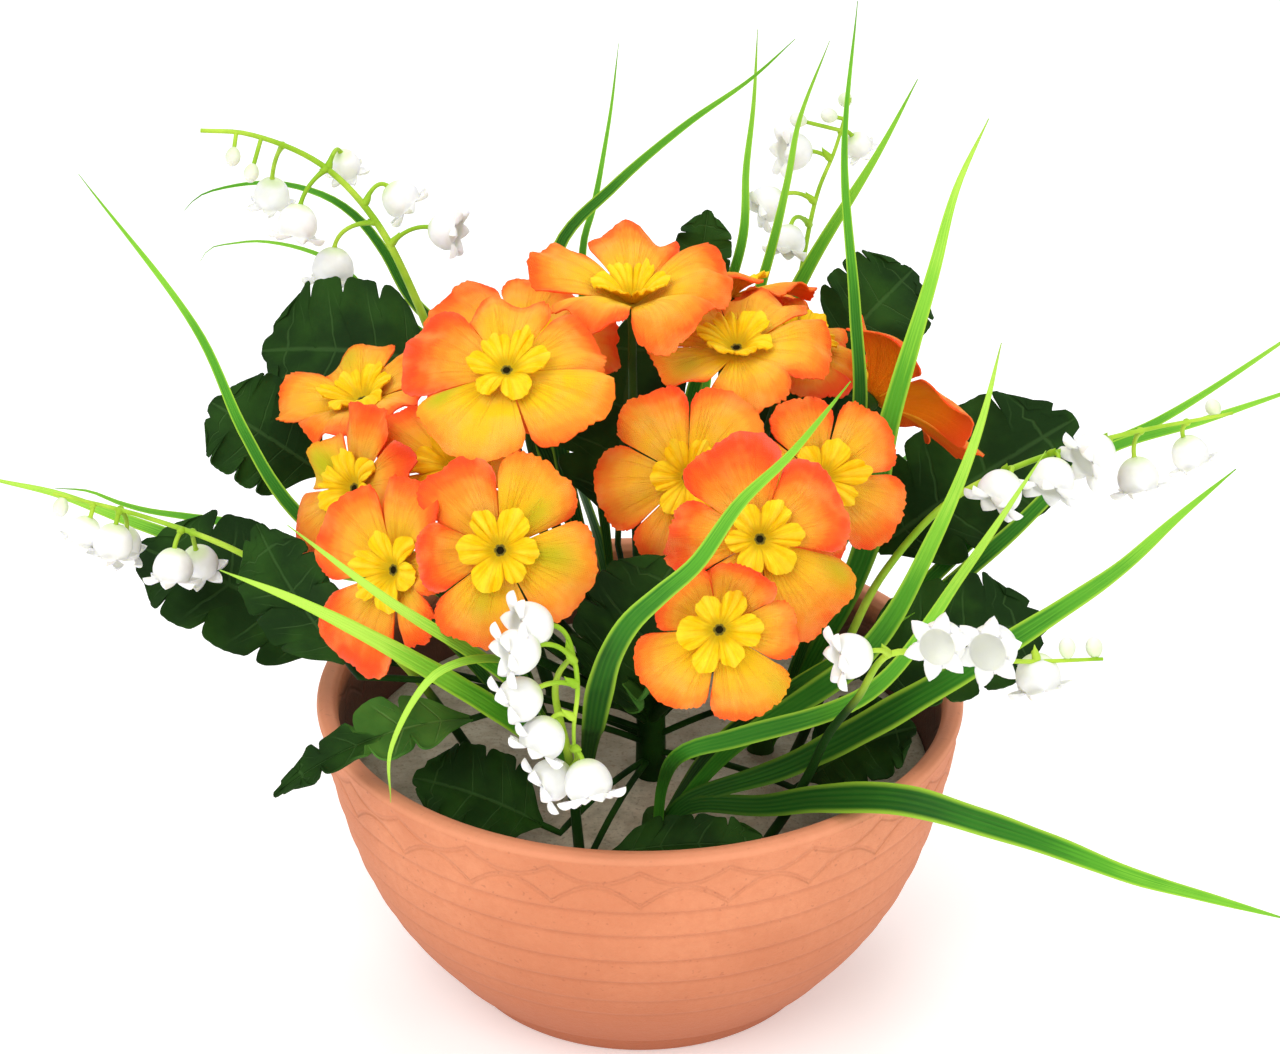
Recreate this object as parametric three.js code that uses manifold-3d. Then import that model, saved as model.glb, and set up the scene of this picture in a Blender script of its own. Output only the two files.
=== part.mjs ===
// A bush of orange primroses in a round terracotta-coloured bowl, with grass blades and
// lily-of-the-valley sprays around it. Every stem stands in a hole in the hard fill.
// Millimetres, +Z up. The front faces -Y. The origin is the middle of the bowl's foot, on
// the surface that it stands on.
import * as THREE from "three";
import { mergeVertices } from "three/addons/utils/BufferGeometryUtils.js";
import Module from "manifold-3d";

const wasm = await Module();
wasm.setup();

// The bowl.
const RIM_RADIUS = 90;
const BOWL_HEIGHT = 88;
const FOOT_RADIUS = 52;
const FOOT_HEIGHT = 9;
const WALL = 4;
const FLOOR_THICKNESS = 5;
const FLOOR_RADIUS = 47.5;
const LIP_ROUND = 2.6;
const RING_LEDGE = 0.9;
const RING_EDGES = [69.5, 61, 51.5, 43, 34.5, 27.5];
const BOWL_SEGMENTS = 32;
// Height and outer radius of the bowl's side, from the foot up.
const SIDE = [
  [FOOT_HEIGHT, 59.5],
  [12, 61.8],
  [20, 68],
  [30, 74.4],
  [40, 79.2],
  [50, 82.6],
  [60, 85.2],
  [70, 87.3],
  [80, 88.8],
  [BOWL_HEIGHT, RIM_RADIUS],
];

// The fill, and the holes that the stems stand in.
const FILL_TOP = 64;
const HOLE_DEPTH = 14;
const HOLE_CLEARANCE = 0.8;
const GAP = 0.3;

// Sheets and stems.
const PETAL_THICKNESS = 0.7;
const CENTRE_THICKNESS = 0.7;
const LEAF_THICKNESS = 0.7;
const BLADE_THICKNESS = 0.8;
const TRUNK_RADIUS = 4.5;
const STALK_RADIUS = 1.1;
const PETIOLE_RADIUS = 0.9;
const CALYX_RADIUS = 2.6;
const HUB_RADIUS = 3.2;
const CENTRE_RADIUS = 10.5;
const CENTRE_RISE = 4.2;
const CENTRE_LOBES = 6;
const PETAL_HALF_ANGLE = 42;

const TRUNK_FOOT = [3, -11];
const TRUNK_TOP = 92;

// Each bloom: its name, the middle of its petals, the way it faces (degrees round from the
// front, and up from level), its radius, how far its petals cup, and the angle and share of
// the radius of each petal, anticlockwise from its right-hand side. A petal's third number is
// how far its outer half folds forward.
const BLOOMS = [
  ["top", [-2, -6, 204], [0, 83], 27, 0.28, [[18, 1], [88, 1], [160, 1], [232, 0.9], [305, 0.95]]],
  ["top_right", [25, -12, 193], [-12, 74], 26, 0.1,
    [[5, 0.95], [78, 1], [150, 0.95], [222, 0.9], [292, 0.9]]],
  ["upper_left", [-33, -44, 201], [-4, 58], 26.5, 0.06,
    [[24, 0.95], [92, 0.9], [163, 1], [240, 1], [340, 1.05]]],
  ["far_left", [-73, -5, 175], [-60, 72], 23.5, 0.2,
    [[10, 0.88], [82, 0.8], [154, 1], [226, 1], [298, 0.84]]],
  ["left", [-72, -38, 166], [-48, 30], 23, 0.16,
    [[35, 0.9], [95, 0.95], [165, 0.8], [240, 1.05], [310, 0.9]]],
  ["inner_left", [-47, -36, 171], [-20, 42], 22.5, 0.14,
    [[20, 0.8], [95, 1], [165, 1], [235, 1], [305, 1]]],
  ["front_left", [-34, -76, 168], [4, 28], 24.5, 0.08,
    [[58, 1], [124, 1.02], [184, 1, 0.4], [247, 1], [345, 0.98]]],
  ["low_left", [-60, -69, 159], [-42, 22], 25, 0.12,
    [[15, 0.7], [88, 0.95], [158, 1], [262, 1.1], [325, 0.8]]],
  ["middle", [12, -46, 173], [-4, 32], 24, 0.08,
    [[62, 1.02], [118, 1.02], [190, 0.98], [262, 0.98], [334, 0.95]]],
  ["right", [46, -38, 169], [18, 32], 22.5, 0.1,
    [[35, 1], [100, 0.95], [170, 1], [245, 1], [318, 1.05]]],
  ["front_right", [29, -72, 169], [12, 30], 25, 0.1,
    [[20, 0.95], [112, 1.05], [172, 0.9], [235, 0.75], [305, 1.1]]],
  ["low_front", [19, -92, 155], [2, 22], 22.5, 0.06,
    [[58, 0.95, 0.5], [140, 0.85, 0.3], [222, 1], [300, 1.05], [358, 0.85]]],
  ["right_high", [42, 12, 184], [70, 66], 23, 0.05,
    [[0, 0.95], [72, 0.95], [144, 1], [216, 1], [288, 0.9]]],
  ["far_right", [62, -1, 175], [119, 31], 27, 0.37,
    [[50, 0.8], [120, 1], [184, 1.1], [240, 1.15], [304, 1.15]]],
  ["behind_left", [-32, 4, 187], [0, 66], 27, 0.06, [[2, 1], [70, 1], [142, 1], [215, 1], [288, 0.95]]],
  ["back", [24, 30, 191], [170, 60], 24, 0.14, [[20, 1], [92, 1], [164, 1], [236, 1], [308, 1]]],
];

// Each leaf: its name, base, tip, the way its upper side faces, half its width, how far its
// middle arches, and the height at which its stalk leaves the trunk.
const LEAVES = [
  ["left_high", [-56, 28, 172], [-104, 32, 174], [0.1, -0.62, 0.78], 20, 4, 84],
  ["left_middle", [-86, 1, 152], [-115, 7, 170], [-0.35, -0.6, 0.7], 15, 4, 80],
  ["left_low", [-80, -14, 106], [-137, 2, 129], [-0.1, -0.55, 0.83], 18, 5, 76],
  ["left_inner", [-76, -46, 120], [-98, -40, 157], [-0.4, -0.75, 0.5], 12, 4, 78],
  ["over_rim", [-44, -46, 103], [-95, -62, 89], [-0.1, -0.5, 0.86], 10, 9, 74],
  ["centre", [-8, -36, 104], [10, -66, 162], [-0.35, -0.85, 0.35], 15, 5, 80],
  ["right_high", [54, 40, 171], [76, 52, 190], [0.2, -0.72, 0.66], 15, 4, 84],
  ["right_middle", [66, 16, 121], [120, 25, 157], [0.1, -0.66, 0.74], 19, 5, 80],
  ["right_low", [58, -32, 108], [108, -22, 119], [0.1, -0.6, 0.8], 17, 4, 76],
  ["top_back", [15, 60, 178], [19, 62, 204], [0.1, -0.6, 0.5], 8, 3, 86],
  ["bowl_left", [-26, -52, 74], [-60, -48, 86], [0.2, -0.5, 0.84], 13, 3, 70],
  ["bowl_front", [-8, -60, 70], [34, -66, 76], [-0.1, -0.4, 0.9], 8, 3, 70],
  ["bowl_right", [46, -32, 76], [74, -32, 92], [-0.2, -0.45, 0.87], 14, 4, 72],
  ["back_left", [-6, 21, 126], [-1, 31, 184], [-0.2, 0.9, 0.3], 18, 4, 82],
  ["back_right", [34, 24, 112], [60, 40, 168], [0.3, 0.9, 0.4], 21, 4, 80],
];

// Each clump of grass: its name, its foot in the fill, its radius there, and its blades:
// the points that a blade passes after the foot, its full width, and the way its flat
// side faces.
const UP_FRONT = [0, -0.6, 0.8];
const FRONT = [0, -1, 0.25];
const CLUMPS = [
  ["front", [4, -42], 4.2,
    [[[[6, -48, 84], [12, -64, 104], [26, -60, 106], [58, -62, 120], [80, -68, 158], [98, -70, 192]],
        5.5, FRONT],
      [[[12, -44, 76], [40, -48, 90], [80, -56, 121], [106, -57, 141], [121, -55, 152], [135, -52, 165],
          [149, -49, 177]], 8.5, UP_FRONT],
      [[[14, -46, 76], [32, -54, 81], [47, -65, 90], [67, -77, 97], [86, -84, 95], [104, -89, 91],
          [124, -92, 84], [143, -94, 79], [164, -95, 73]], 9, UP_FRONT],
      [[[24, -40, 90], [58, -50, 125], [74, -58, 164], [83, -60, 194], [87, -60, 216]], 6.5, FRONT],
      [[[18, -34, 84], [42, -36, 108], [72, -34, 128]], 5, UP_FRONT]]],
  ["left", [-16, -24], 4.2,
    [[[[-22, -40, 88], [-30, -60, 108], [-50, -84, 138], [-80, -96, 164], [-100, -92, 171]], 8,
        UP_FRONT], [[[-24, -44, 98], [-34, -74, 132], [-60, -96, 165], [-83, -94, 184]], 6, UP_FRONT],
      [[[-26, -46, 104], [-36, -80, 140], [-50, -96, 144], [-60, -102, 128], [-61, -100, 111]], 4,
        UP_FRONT],
      [[[-13, -44, 96], [-12, -60, 109], [-10, -76, 129], [-7, -88, 146], [-2, -97, 160],
          [5, -102, 170], [13, -106, 180], [23, -110, 198], [34, -112, 211], [47, -112, 229]], 7,
        FRONT],
      [[[-50, -18, 110], [-91, -24, 154], [-103, -18, 173], [-115, -6, 196], [-147, 17, 231]], 5.5,
        FRONT],
      [[[-48, -6, 117], [-80, 3, 121], [-103, 6, 122], [-114, 7, 124], [-128, 8, 129], [-143, 10, 134],
          [-160, 14, 139], [-176, 18, 141], [-188, 22, 142]], 6.5, UP_FRONT],
      [[[-50, 6, 118], [-97, 10, 124], [-109, 14, 129], [-125, 18, 130], [-137, 20, 131],
          [-145, 21, 133], [-153, 22, 136], [-163, 24, 136]], 5, UP_FRONT]]],
  ["back", [-4, 40], 4.2,
    [[[[-34, 50, 150], [-64, 60, 177], [-72, 63, 191], [-79, 65, 200], [-88, 67, 206], [-103, 70, 209],
          [-118, 71, 207], [-125, 72, 204], [-129, 72, 200]], 5, UP_FRONT],
      [[[-34, 60, 140], [-76, 62, 178], [-85, 63, 187], [-95, 65, 191], [-107, 66, 193],
          [-115, 67, 192], [-122, 68, 190], [-125, 68, 186]], 3.5, UP_FRONT],
      [[[-24, 44, 150], [-23, 54, 195], [-7, 60, 212], [12, 66, 227], [31, 72, 239], [43, 76, 249]], 5,
        FRONT],
      [[[-14, 56, 150], [-16, 62, 193], [-13, 68, 203], [-10, 76, 217], [-8, 82, 228], [-6, 88, 244]],
        3.5, FRONT],
      [[[16, 64, 150], [29, 68, 193], [30, 76, 211], [32, 82, 228], [33, 88, 248]], 4.5, FRONT],
      [[[24, 54, 150], [36, 56, 192], [41, 61, 213], [44, 65, 229], [52, 68, 251]], 4.5, FRONT],
      [[[30, 52, 150], [46, 56, 187], [66, 58, 223], [76, 62, 242]], 6.5, FRONT],
      [[[10, 66, 114], [20, 88, 146], [16, 108, 170]], 6, [0, 1, 0.3]],
      [[[-14, 66, 104], [-34, 94, 136], [-58, 120, 144]], 6, [0, 0.7, 0.7]]]],
  ["right", [34, 2], 4.2,
    [[[[52, -8, 130], [57, -16, 176], [54, -26, 212], [50, -28, 253], [52, -28, 291]], 4.5, FRONT],
      [[[60, -6, 130], [64, -21, 175], [74, -19, 217], [80, -10, 237], [88, -3, 253]], 7.5, FRONT],
      [[[68, 4, 104], [112, 14, 145], [145, 24, 158], [190, 36, 185]], 4.5, UP_FRONT],
      [[[66, -4, 102], [98, -4, 134], [124, 6, 155], [152, 12, 162], [192, 24, 171]], 5, UP_FRONT],
      [[[52, 26, 104], [74, 54, 128], [98, 86, 126]], 6, [0, 0.5, 0.8]]]],
];

// Each spray: its name, its foot in the fill, the points its stem passes, its bells, and its
// buds. A bell has the place of its crown, the way its mouth faces and its size. A bud has
// its place.
const SPRAYS = [
  ["left_high", [-26, 30],
    [[-42, 40, 120], [-62, 46, 183], [-74, 50, 207], [-88, 53, 221], [-107, 54, 229], [-120, 54, 230]],
    [[[-93, 48, 211], [-0.2, -0.3, -1], 1], [[-85, 54, 196], [-0.1, -0.25, -1], 1.05],
      [[-58, 46, 205], [0.95, -0.25, -0.1], 0.95], [[-70, 57, 213], [0.7, -0.1, -0.7], 0.95],
      [[-102, 60, 214], [-0.1, 0.1, -1], 0.9], [[-83, 62, 221], [0.2, 0.3, -1], 0.8]],
    [[-111, 50, 224], [-106, 48, 220]]],
  ["back_right", [18, 46], [[38, 64, 120], [46, 79, 175], [51, 86, 200], [56, 90, 212], [60, 94, 226]],
    [[[49, 88, 212], [-0.9, -0.3, 0.1], 1], [[41, 82, 201], [-0.85, -0.3, -0.4], 0.95],
      [[43, 74, 195], [-0.2, -0.5, -0.9], 0.9], [[61, 96, 214], [0.5, 0.2, -0.8], 0.7]],
    [[45, 86, 222], [54, 90, 222], [59, 98, 224]]],
  ["right", [42, -10],
    [[54, -24, 110], [64, -30, 138], [80, -24, 155], [99, -18, 163], [126, -8, 167], [158, 2, 169]],
    [[[96, -26, 165], [-0.5, -0.5, -0.7], 1.05], [[109, -20, 166], [-0.3, -0.6, -0.7], 1.05],
      [[123, -14, 168], [-0.75, -0.5, -0.35], 1.1], [[132, -2, 158], [0.2, -0.3, -0.9], 1],
      [[145, 0, 163], [0.4, -0.2, -0.9], 0.9]], [[153, 3, 170]]],
  ["right_low", [34, -50],
    [[39, -53, 79], [44, -56, 92], [48, -66, 110], [54, -80, 129], [61, -88, 146], [76, -86, 144],
      [93, -83, 141], [114, -80, 140]],
    [[[56, -92, 149], [-0.95, -0.25, -0.1], 1], [[75, -88, 150], [-0.4, -0.85, 0.25], 1.05],
      [[88, -86, 148], [-0.45, -0.85, 0.2], 1.1], [[97, -79, 141], [0.2, -0.3, -0.9], 1]],
    [[105, -80, 143], [112, -78, 142]]],
  ["left_low", [-40, -22], [[-66, -27, 112], [-104, -26, 141], [-130, -20, 149], [-155, -14, 153]],
    [[[-122, -26, 143], [-0.1, -0.3, -1], 0.95], [[-138, -20, 147], [-0.2, -0.2, -1], 0.95],
      [[-145, -18, 148], [-0.4, -0.2, -0.9], 0.8], [[-118, -17, 138], [0.1, 0.3, -1], 0.9],
      [[-137, -12, 141], [-0.3, 0.3, -0.9], 0.9]], [[-153, -16, 150]]],
  ["front", [-16, -56],
    [[-18, -62, 98], [-21, -80, 131], [-19, -88, 142], [-16, -93, 147], [-15, -98, 142],
      [-16, -99, 132], [-16, -99, 126]],
    [[[-21, -92, 156], [-0.9, -0.3, 0.15], 1.05], [[-24, -98, 154], [-0.9, -0.4, -0.1], 1],
      [[-24, -99, 143], [-0.85, -0.35, -0.4], 1], [[-21, -100, 135], [-0.45, -0.4, -0.8], 1],
      [[-17, -97, 119], [-0.85, -0.35, -0.4], 0.95], [[-14, -101, 124], [0.25, -0.5, -0.85], 1.05]],
    []],
];

// Helpers that turn a geometry into a solid and back.
function solidOf(geometry) {
  geometry.deleteAttribute("normal");
  geometry.deleteAttribute("uv");
  const merged = mergeVertices(geometry, 1e-4);
  return new wasm.Manifold(
    new wasm.Mesh({
      numProp: 3,
      vertProperties: merged.attributes.position.array,
      triVerts: new Uint32Array(merged.index.array),
    }),
  );
}

function geometryOf(solid) {
  const mesh = solid.getMesh();
  const geometry = new THREE.BufferGeometry();
  geometry.setAttribute("position", new THREE.BufferAttribute(mesh.vertProperties, 3));
  geometry.setIndex(new THREE.BufferAttribute(mesh.triVerts, 1));
  return geometry;
}

function joined(geometries) {
  return geometries.map(solidOf).reduce((whole, piece) => whole.add(piece));
}

function indexed(points, triangles) {
  const geometry = new THREE.BufferGeometry().setFromPoints(points);
  geometry.setIndex(triangles.flat());
  return geometry;
}

const vector = (xyz) => new THREE.Vector3(...xyz);
const radians = THREE.MathUtils.degToRad;
const mix = THREE.MathUtils.lerp;

// A thin sheet as a closed solid: the same triangles on both faces, joined by a rim.
function sheet(points, triangles, thickness) {
  const normals = points.map(() => new THREE.Vector3());
  const edges = new Set();
  for (const [a, b, c] of triangles) {
    const one = new THREE.Vector3().subVectors(points[b], points[a]);
    const two = new THREE.Vector3().subVectors(points[c], points[a]);
    const normal = one.cross(two);
    for (const corner of [a, b, c]) normals[corner].add(normal);
    for (const [from, to] of [[a, b], [b, c], [c, a]]) edges.add(from + "_" + to);
  }
  const count = points.length;
  const face = (side) =>
    points.map((p, i) => p.clone().addScaledVector(normals[i].normalize(), (side * thickness) / 2));
  const all = [...face(1), ...face(-1)];
  const faces = triangles.flatMap(([a, b, c]) => [[a, b, c], [a + count, c + count, b + count]]);
  for (const edge of edges) {
    const [from, to] = edge.split("_").map(Number);
    if (edges.has(to + "_" + from)) continue;
    faces.push([to, from, from + count], [to, from + count, to + count]);
  }
  return indexed(all, faces);
}

// Rings of points skinned into a closed solid, with flat ends.
function skin(rings) {
  const sides = rings[0].length;
  const triangles = [];
  for (let i = 0; i < rings.length - 1; i++) {
    for (let k = 0; k < sides; k++) {
      const a = i * sides + k;
      const b = i * sides + ((k + 1) % sides);
      triangles.push([a, b, b + sides], [a, b + sides, a + sides]);
    }
  }
  const last = (rings.length - 1) * sides;
  for (let k = 1; k < sides - 1; k++) {
    triangles.push([0, k + 1, k], [last, last + k, last + k + 1]);
  }
  return indexed(rings.flat(), triangles);
}

// A round tube through the points, with its radius at each.
function tube(points, radii, sides) {
  let across = new THREE.Vector3(1, 0.2, 0.1);
  const rings = points.map((point, i) => {
    const before = points[Math.max(i - 1, 0)];
    const after = points[Math.min(i + 1, points.length - 1)];
    const along = new THREE.Vector3().subVectors(after, before).normalize();
    across = across.clone().addScaledVector(along, -across.dot(along)).normalize();
    const third = new THREE.Vector3().crossVectors(along, across);
    return Array.from({ length: sides }, (_, k) => {
      const turn = (2 * Math.PI * k) / sides;
      return point
        .clone()
        .addScaledVector(across, radii[i] * Math.cos(turn))
        .addScaledVector(third, radii[i] * Math.sin(turn));
    });
  });
  return skin(rings);
}

function smoothPoints(points, steps) {
  return new THREE.CatmullRomCurve3(points, false, "centripetal").getSpacedPoints(steps);
}

// The bowl, turned from its profile.
function sideRadius(height) {
  const above = SIDE.findIndex(([z]) => z >= height);
  if (above <= 0) return SIDE[0][1];
  const [z0, r0] = SIDE[above - 1];
  const [z1, r1] = SIDE[above];
  return mix(r0, r1, (height - z0) / (z1 - z0));
}

function turned(profile) {
  const points = profile.map(([r, z]) => new THREE.Vector2(r, z));
  return new THREE.LatheGeometry(points, BOWL_SEGMENTS).rotateX(Math.PI / 2);
}

const INSIDE_HEIGHTS = [FLOOR_THICKNESS, 14, 30, 48, FILL_TOP];

function insideRadius(height) {
  return height === FLOOR_THICKNESS ? FLOOR_RADIUS : sideRadius(height) - WALL - RING_LEDGE;
}

function makeBowl() {
  const profile = [
    [0, 0],
    [FOOT_RADIUS, 0],
    [FOOT_RADIUS + 4, FOOT_HEIGHT - 1],
    [SIDE[0][1], FOOT_HEIGHT],
  ];
  for (const edge of [...RING_EDGES].reverse()) {
    profile.push([sideRadius(edge) - RING_LEDGE, edge]);
    profile.push([sideRadius(edge), edge + 0.4]);
  }
  const lipInside = RIM_RADIUS - 6;
  profile.push(
    [RIM_RADIUS - 0.2, BOWL_HEIGHT - LIP_ROUND],
    [RIM_RADIUS - 0.9, BOWL_HEIGHT - 0.7],
    [RIM_RADIUS - 2.8, BOWL_HEIGHT],
    [lipInside + 1, BOWL_HEIGHT - 0.6],
    [lipInside, BOWL_HEIGHT - LIP_ROUND],
  );
  for (const height of [...INSIDE_HEIGHTS].reverse()) profile.push([insideRadius(height), height]);
  profile.push([0, FLOOR_THICKNESS]);
  return turned(profile);
}

// The fill follows the bowl's inside, with a hole for each foot.
function makeFill(feet) {
  const profile = [[0, FLOOR_THICKNESS + GAP]];
  for (const height of INSIDE_HEIGHTS) {
    const lift = height === FLOOR_THICKNESS ? GAP : 0;
    profile.push([insideRadius(height) - GAP, height + lift]);
  }
  profile.push([0, FILL_TOP + 1.5]);
  const holes = feet.map(([x, y, radius]) => {
    const hole = new THREE.CylinderGeometry(radius, radius, 2 * HOLE_DEPTH, 8);
    return solidOf(hole.rotateX(Math.PI / 2).translate(x, y, FILL_TOP));
  });
  return holes.reduce((fill, hole) => fill.subtract(hole), solidOf(turned(profile)));
}

// The axes of a bloom: its right hand, its upward side, and the way it faces.
function bloomFrame([round, up]) {
  const turn = radians(round);
  const rise = radians(up);
  const facing = vector([Math.sin(turn) * Math.cos(rise), -Math.cos(turn) * Math.cos(rise), Math.sin(rise)]);
  const right = vector([Math.cos(turn), Math.sin(turn), 0]);
  return new THREE.Matrix4().makeBasis(right, facing.clone().cross(right), facing);
}

function polar(radius, angle, height) {
  return vector([radius * Math.cos(angle), radius * Math.sin(angle), height]);
}

// Five petals that grow together at the hub, with a slit between each two.
const PETAL_STEPS = [-1, -0.5, 0, 0.5, 1];
const PETAL_EDGE = [0.76, 0.97, 1, 0.97, 0.76];
const FOLD_SHARE = 0.4;

function makePetals(radius, cup, petals) {
  const points = [vector([0, 0, 0])];
  const triangles = [];
  const hub = [];
  const add = (point) => points.push(point) - 1;
  const angles = petals.map(([angle]) => angle);
  petals.forEach(([angle, share, fold = 0], n) => {
    const before = angles[(n + angles.length - 1) % angles.length] - (n === 0 ? 360 : 0);
    const after = angles[(n + 1) % angles.length] + (n === angles.length - 1 ? 360 : 0);
    const halfBefore = Math.min((angle - before) / 2, PETAL_HALF_ANGLE);
    const halfAfter = Math.min((after - angle) / 2, PETAL_HALF_ANGLE);
    const row = PETAL_STEPS.map((step, k) => {
      const half = step < 0 ? halfBefore : halfAfter;
      const at = (spread) => radians(angle + step * half * spread);
      const reach = radius * share * PETAL_EDGE[k] * (1 - FOLD_SHARE * fold);
      const crown = 1 - 0.35 * step * step;
      const wave = 0.035 * radius * Math.sin(2.3 * k + 1.7 * n) + FOLD_SHARE * radius * fold;
      return {
        hubAngle: angle + step * half,
        middle: polar(0.58 * radius * share, at(0.95), cup * radius * crown),
        edge: polar(reach, at(0.92), cup * radius * crown * 1.1 + wave),
      };
    });
    const made = row.map(({ hubAngle, middle, edge }, k) => {
      const last = hub[hub.length - 1];
      const shared = last && Math.abs(last.angle - hubAngle) < 0.01 ? last : null;
      const closing = n === petals.length - 1 && k === 4 && Math.abs(hubAngle - 360 - hub[0].angle) < 0.01;
      let base = shared ? shared.index : closing ? hub[0].index : null;
      if (base === null) {
        base = add(polar(HUB_RADIUS, radians(hubAngle), 0));
        hub.push({ angle: hubAngle, index: base });
      }
      return [base, add(middle), add(edge)];
    });
    for (let k = 0; k < made.length - 1; k++) {
      for (let ring = 0; ring < 2; ring++) {
        const [a, b] = [made[k][ring], made[k + 1][ring]];
        const [c, d] = [made[k + 1][ring + 1], made[k][ring + 1]];
        triangles.push([a, d, c], [a, c, b]);
      }
    }
  });
  hub.forEach(({ index }, i) => triangles.push([0, index, hub[(i + 1) % hub.length].index]));
  return sheet(points, triangles, PETAL_THICKNESS);
}

// The ruffled cup in the middle of a bloom.
const CENTRE_LIFT = PETAL_THICKNESS / 2 + GAP + CENTRE_THICKNESS / 2;

function makeCentre(rise) {
  const count = 2 * CENTRE_LOBES;
  const points = [vector([0, 0, CENTRE_LIFT])];
  for (let k = 0; k < count; k++) {
    const angle = (2 * Math.PI * k) / count;
    points.push(polar(HUB_RADIUS, angle, CENTRE_LIFT + 0.6));
  }
  for (let k = 0; k < count; k++) {
    const angle = (2 * Math.PI * k) / count;
    const lobe = k % 2 === 0;
    points.push(polar(CENTRE_RADIUS * (lobe ? 1 : 0.76), angle, CENTRE_LIFT + (lobe ? rise : 0.9 * rise)));
  }
  const triangles = [];
  for (let k = 0; k < count; k++) {
    const next = (k + 1) % count;
    triangles.push([0, 1 + k, 1 + next]);
    const [a, b, c, d] = [1 + k, 1 + next, 1 + count + next, 1 + count + k];
    triangles.push([a, d, c], [a, c, b]);
  }
  return sheet(points, triangles, CENTRE_THICKNESS);
}

// A bloom's stalk: up from the trunk, then round to the back of the hub, where it widens
// into the green cup that holds the petals.
function makeStalk(at, facing) {
  const frame = bloomFrame(facing);
  const back = vector([0, 0, -1]).applyMatrix4(frame);
  const hub = vector(at);
  const behind = (distance) => hub.clone().addScaledVector(back, distance);
  const neck = behind(8);
  const root = vector([...TRUNK_FOOT, TRUNK_TOP - 8]);
  const lean = vector([at[0] - TRUNK_FOOT[0], at[1] - TRUNK_FOOT[1], 0]).setLength(2.4);
  root.add(lean);
  const reach = neck.distanceTo(root);
  const turnIn = back.clone().add(vector([0, 0, -0.9])).setLength(0.42 * reach);
  const control = neck.clone().add(turnIn);
  const start = root.clone().lerp(control, 0.35).add(vector([0, 0, 0.06 * reach]));
  const route = new THREE.CubicBezierCurve3(root, start, control, neck).getPoints(3);
  const top = PETAL_THICKNESS / 2 + GAP;
  route.push(behind(3), behind(top));
  const radii = route.map(() => STALK_RADIUS);
  radii[route.length - 2] = CALYX_RADIUS;
  radii[route.length - 1] = CALYX_RADIUS - 0.2;
  radii[0] = 1.6;
  return tube(route, radii, 4);
}

// The axes of a leaf: along it, across it, and the way its upper side faces.
function leafFrame(base, tip, face) {
  const along = vector(tip).sub(vector(base)).normalize();
  const across = vector(face).cross(along).normalize();
  return { along, across, up: along.clone().cross(across) };
}

// A leaf: a sheet along its midrib, its edge cut into rounded lobes that wave up and down.
// Each station: share of the length, share of the half width, and its wave.
const LEAF_STATIONS = [
  [0, 0.1, 0],
  [0.24, 0.92, -1],
  [0.33, 0.74, 1],
  [0.46, 1, -1],
  [0.55, 0.78, 1],
  [0.68, 0.96, -1],
  [0.77, 0.76, 1],
  [0.9, 0.78, -0.8],
  [0.985, 0.4, 0],
];
const LEAF_WAVE = 1.4;
const LEAF_FOLD = 0.22;

function makeLeaf(base, tip, face, halfWidth, arch) {
  const { along, across, up } = leafFrame(base, tip, face);
  const start = vector(base);
  const length = vector(tip).distanceTo(start);
  const at = (share, side, height) =>
    start
      .clone()
      .addScaledVector(along, share * length)
      .addScaledVector(across, side)
      .addScaledVector(up, height + 4 * arch * share * (1 - share));
  const points = [];
  const triangles = [];
  for (const [share, width, wave] of LEAF_STATIONS) {
    const side = width * halfWidth;
    const height = LEAF_FOLD * side + LEAF_WAVE * wave;
    points.push(at(share, 0, 0), at(share, side, height), at(share, -side, height));
  }
  const end = points.push(at(1, 0, 0)) - 1;
  for (let i = 0; i < LEAF_STATIONS.length - 1; i++) {
    const [rib, left, right] = [3 * i, 3 * i + 1, 3 * i + 2];
    triangles.push([rib, rib + 3, left + 3], [rib, left + 3, left]);
    triangles.push([rib, right, right + 3], [rib, right + 3, rib + 3]);
  }
  const [rib, left, right] = [end - 3, end - 2, end - 1];
  triangles.push([rib, end, left], [rib, right, end]);
  return sheet(points, triangles, LEAF_THICKNESS);
}

// A leaf's stalk leaves the trunk and ends just short of the base of the leaf.
function makePetiole(base, tip, face, height) {
  const { along, up } = leafFrame(base, tip, face);
  const end = vector(base).addScaledVector(along, -GAP - 0.15);
  const entry = end.clone().addScaledVector(along, -6).addScaledVector(up, -1);
  const root = vector([...TRUNK_FOOT, height]);
  const middle = root.clone().lerp(entry, 0.5);
  middle.z += 0.09 * root.distanceTo(entry);
  const route = new THREE.QuadraticBezierCurve3(root, middle, entry).getPoints(2);
  route.push(end);
  return tube(route, route.map(() => PETIOLE_RADIUS), 3);
}

function makeBush() {
  const trunkFoot = vector([...TRUNK_FOOT, FILL_TOP - HOLE_DEPTH + GAP]);
  const trunkTop = vector([...TRUNK_FOOT, TRUNK_TOP]);
  const parts = [tube([trunkFoot, trunkTop], [TRUNK_RADIUS, TRUNK_RADIUS * 0.85], 8)];
  for (const [, at, facing] of BLOOMS) parts.push(makeStalk(at, facing));
  for (const [, base, tip, face, , , height] of LEAVES) parts.push(makePetiole(base, tip, face, height));
  return joined(parts);
}

// A grass blade: a flat strap that starts narrow, widens and runs out to a fine tip.
const BLADE_STEPS = 6;

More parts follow.
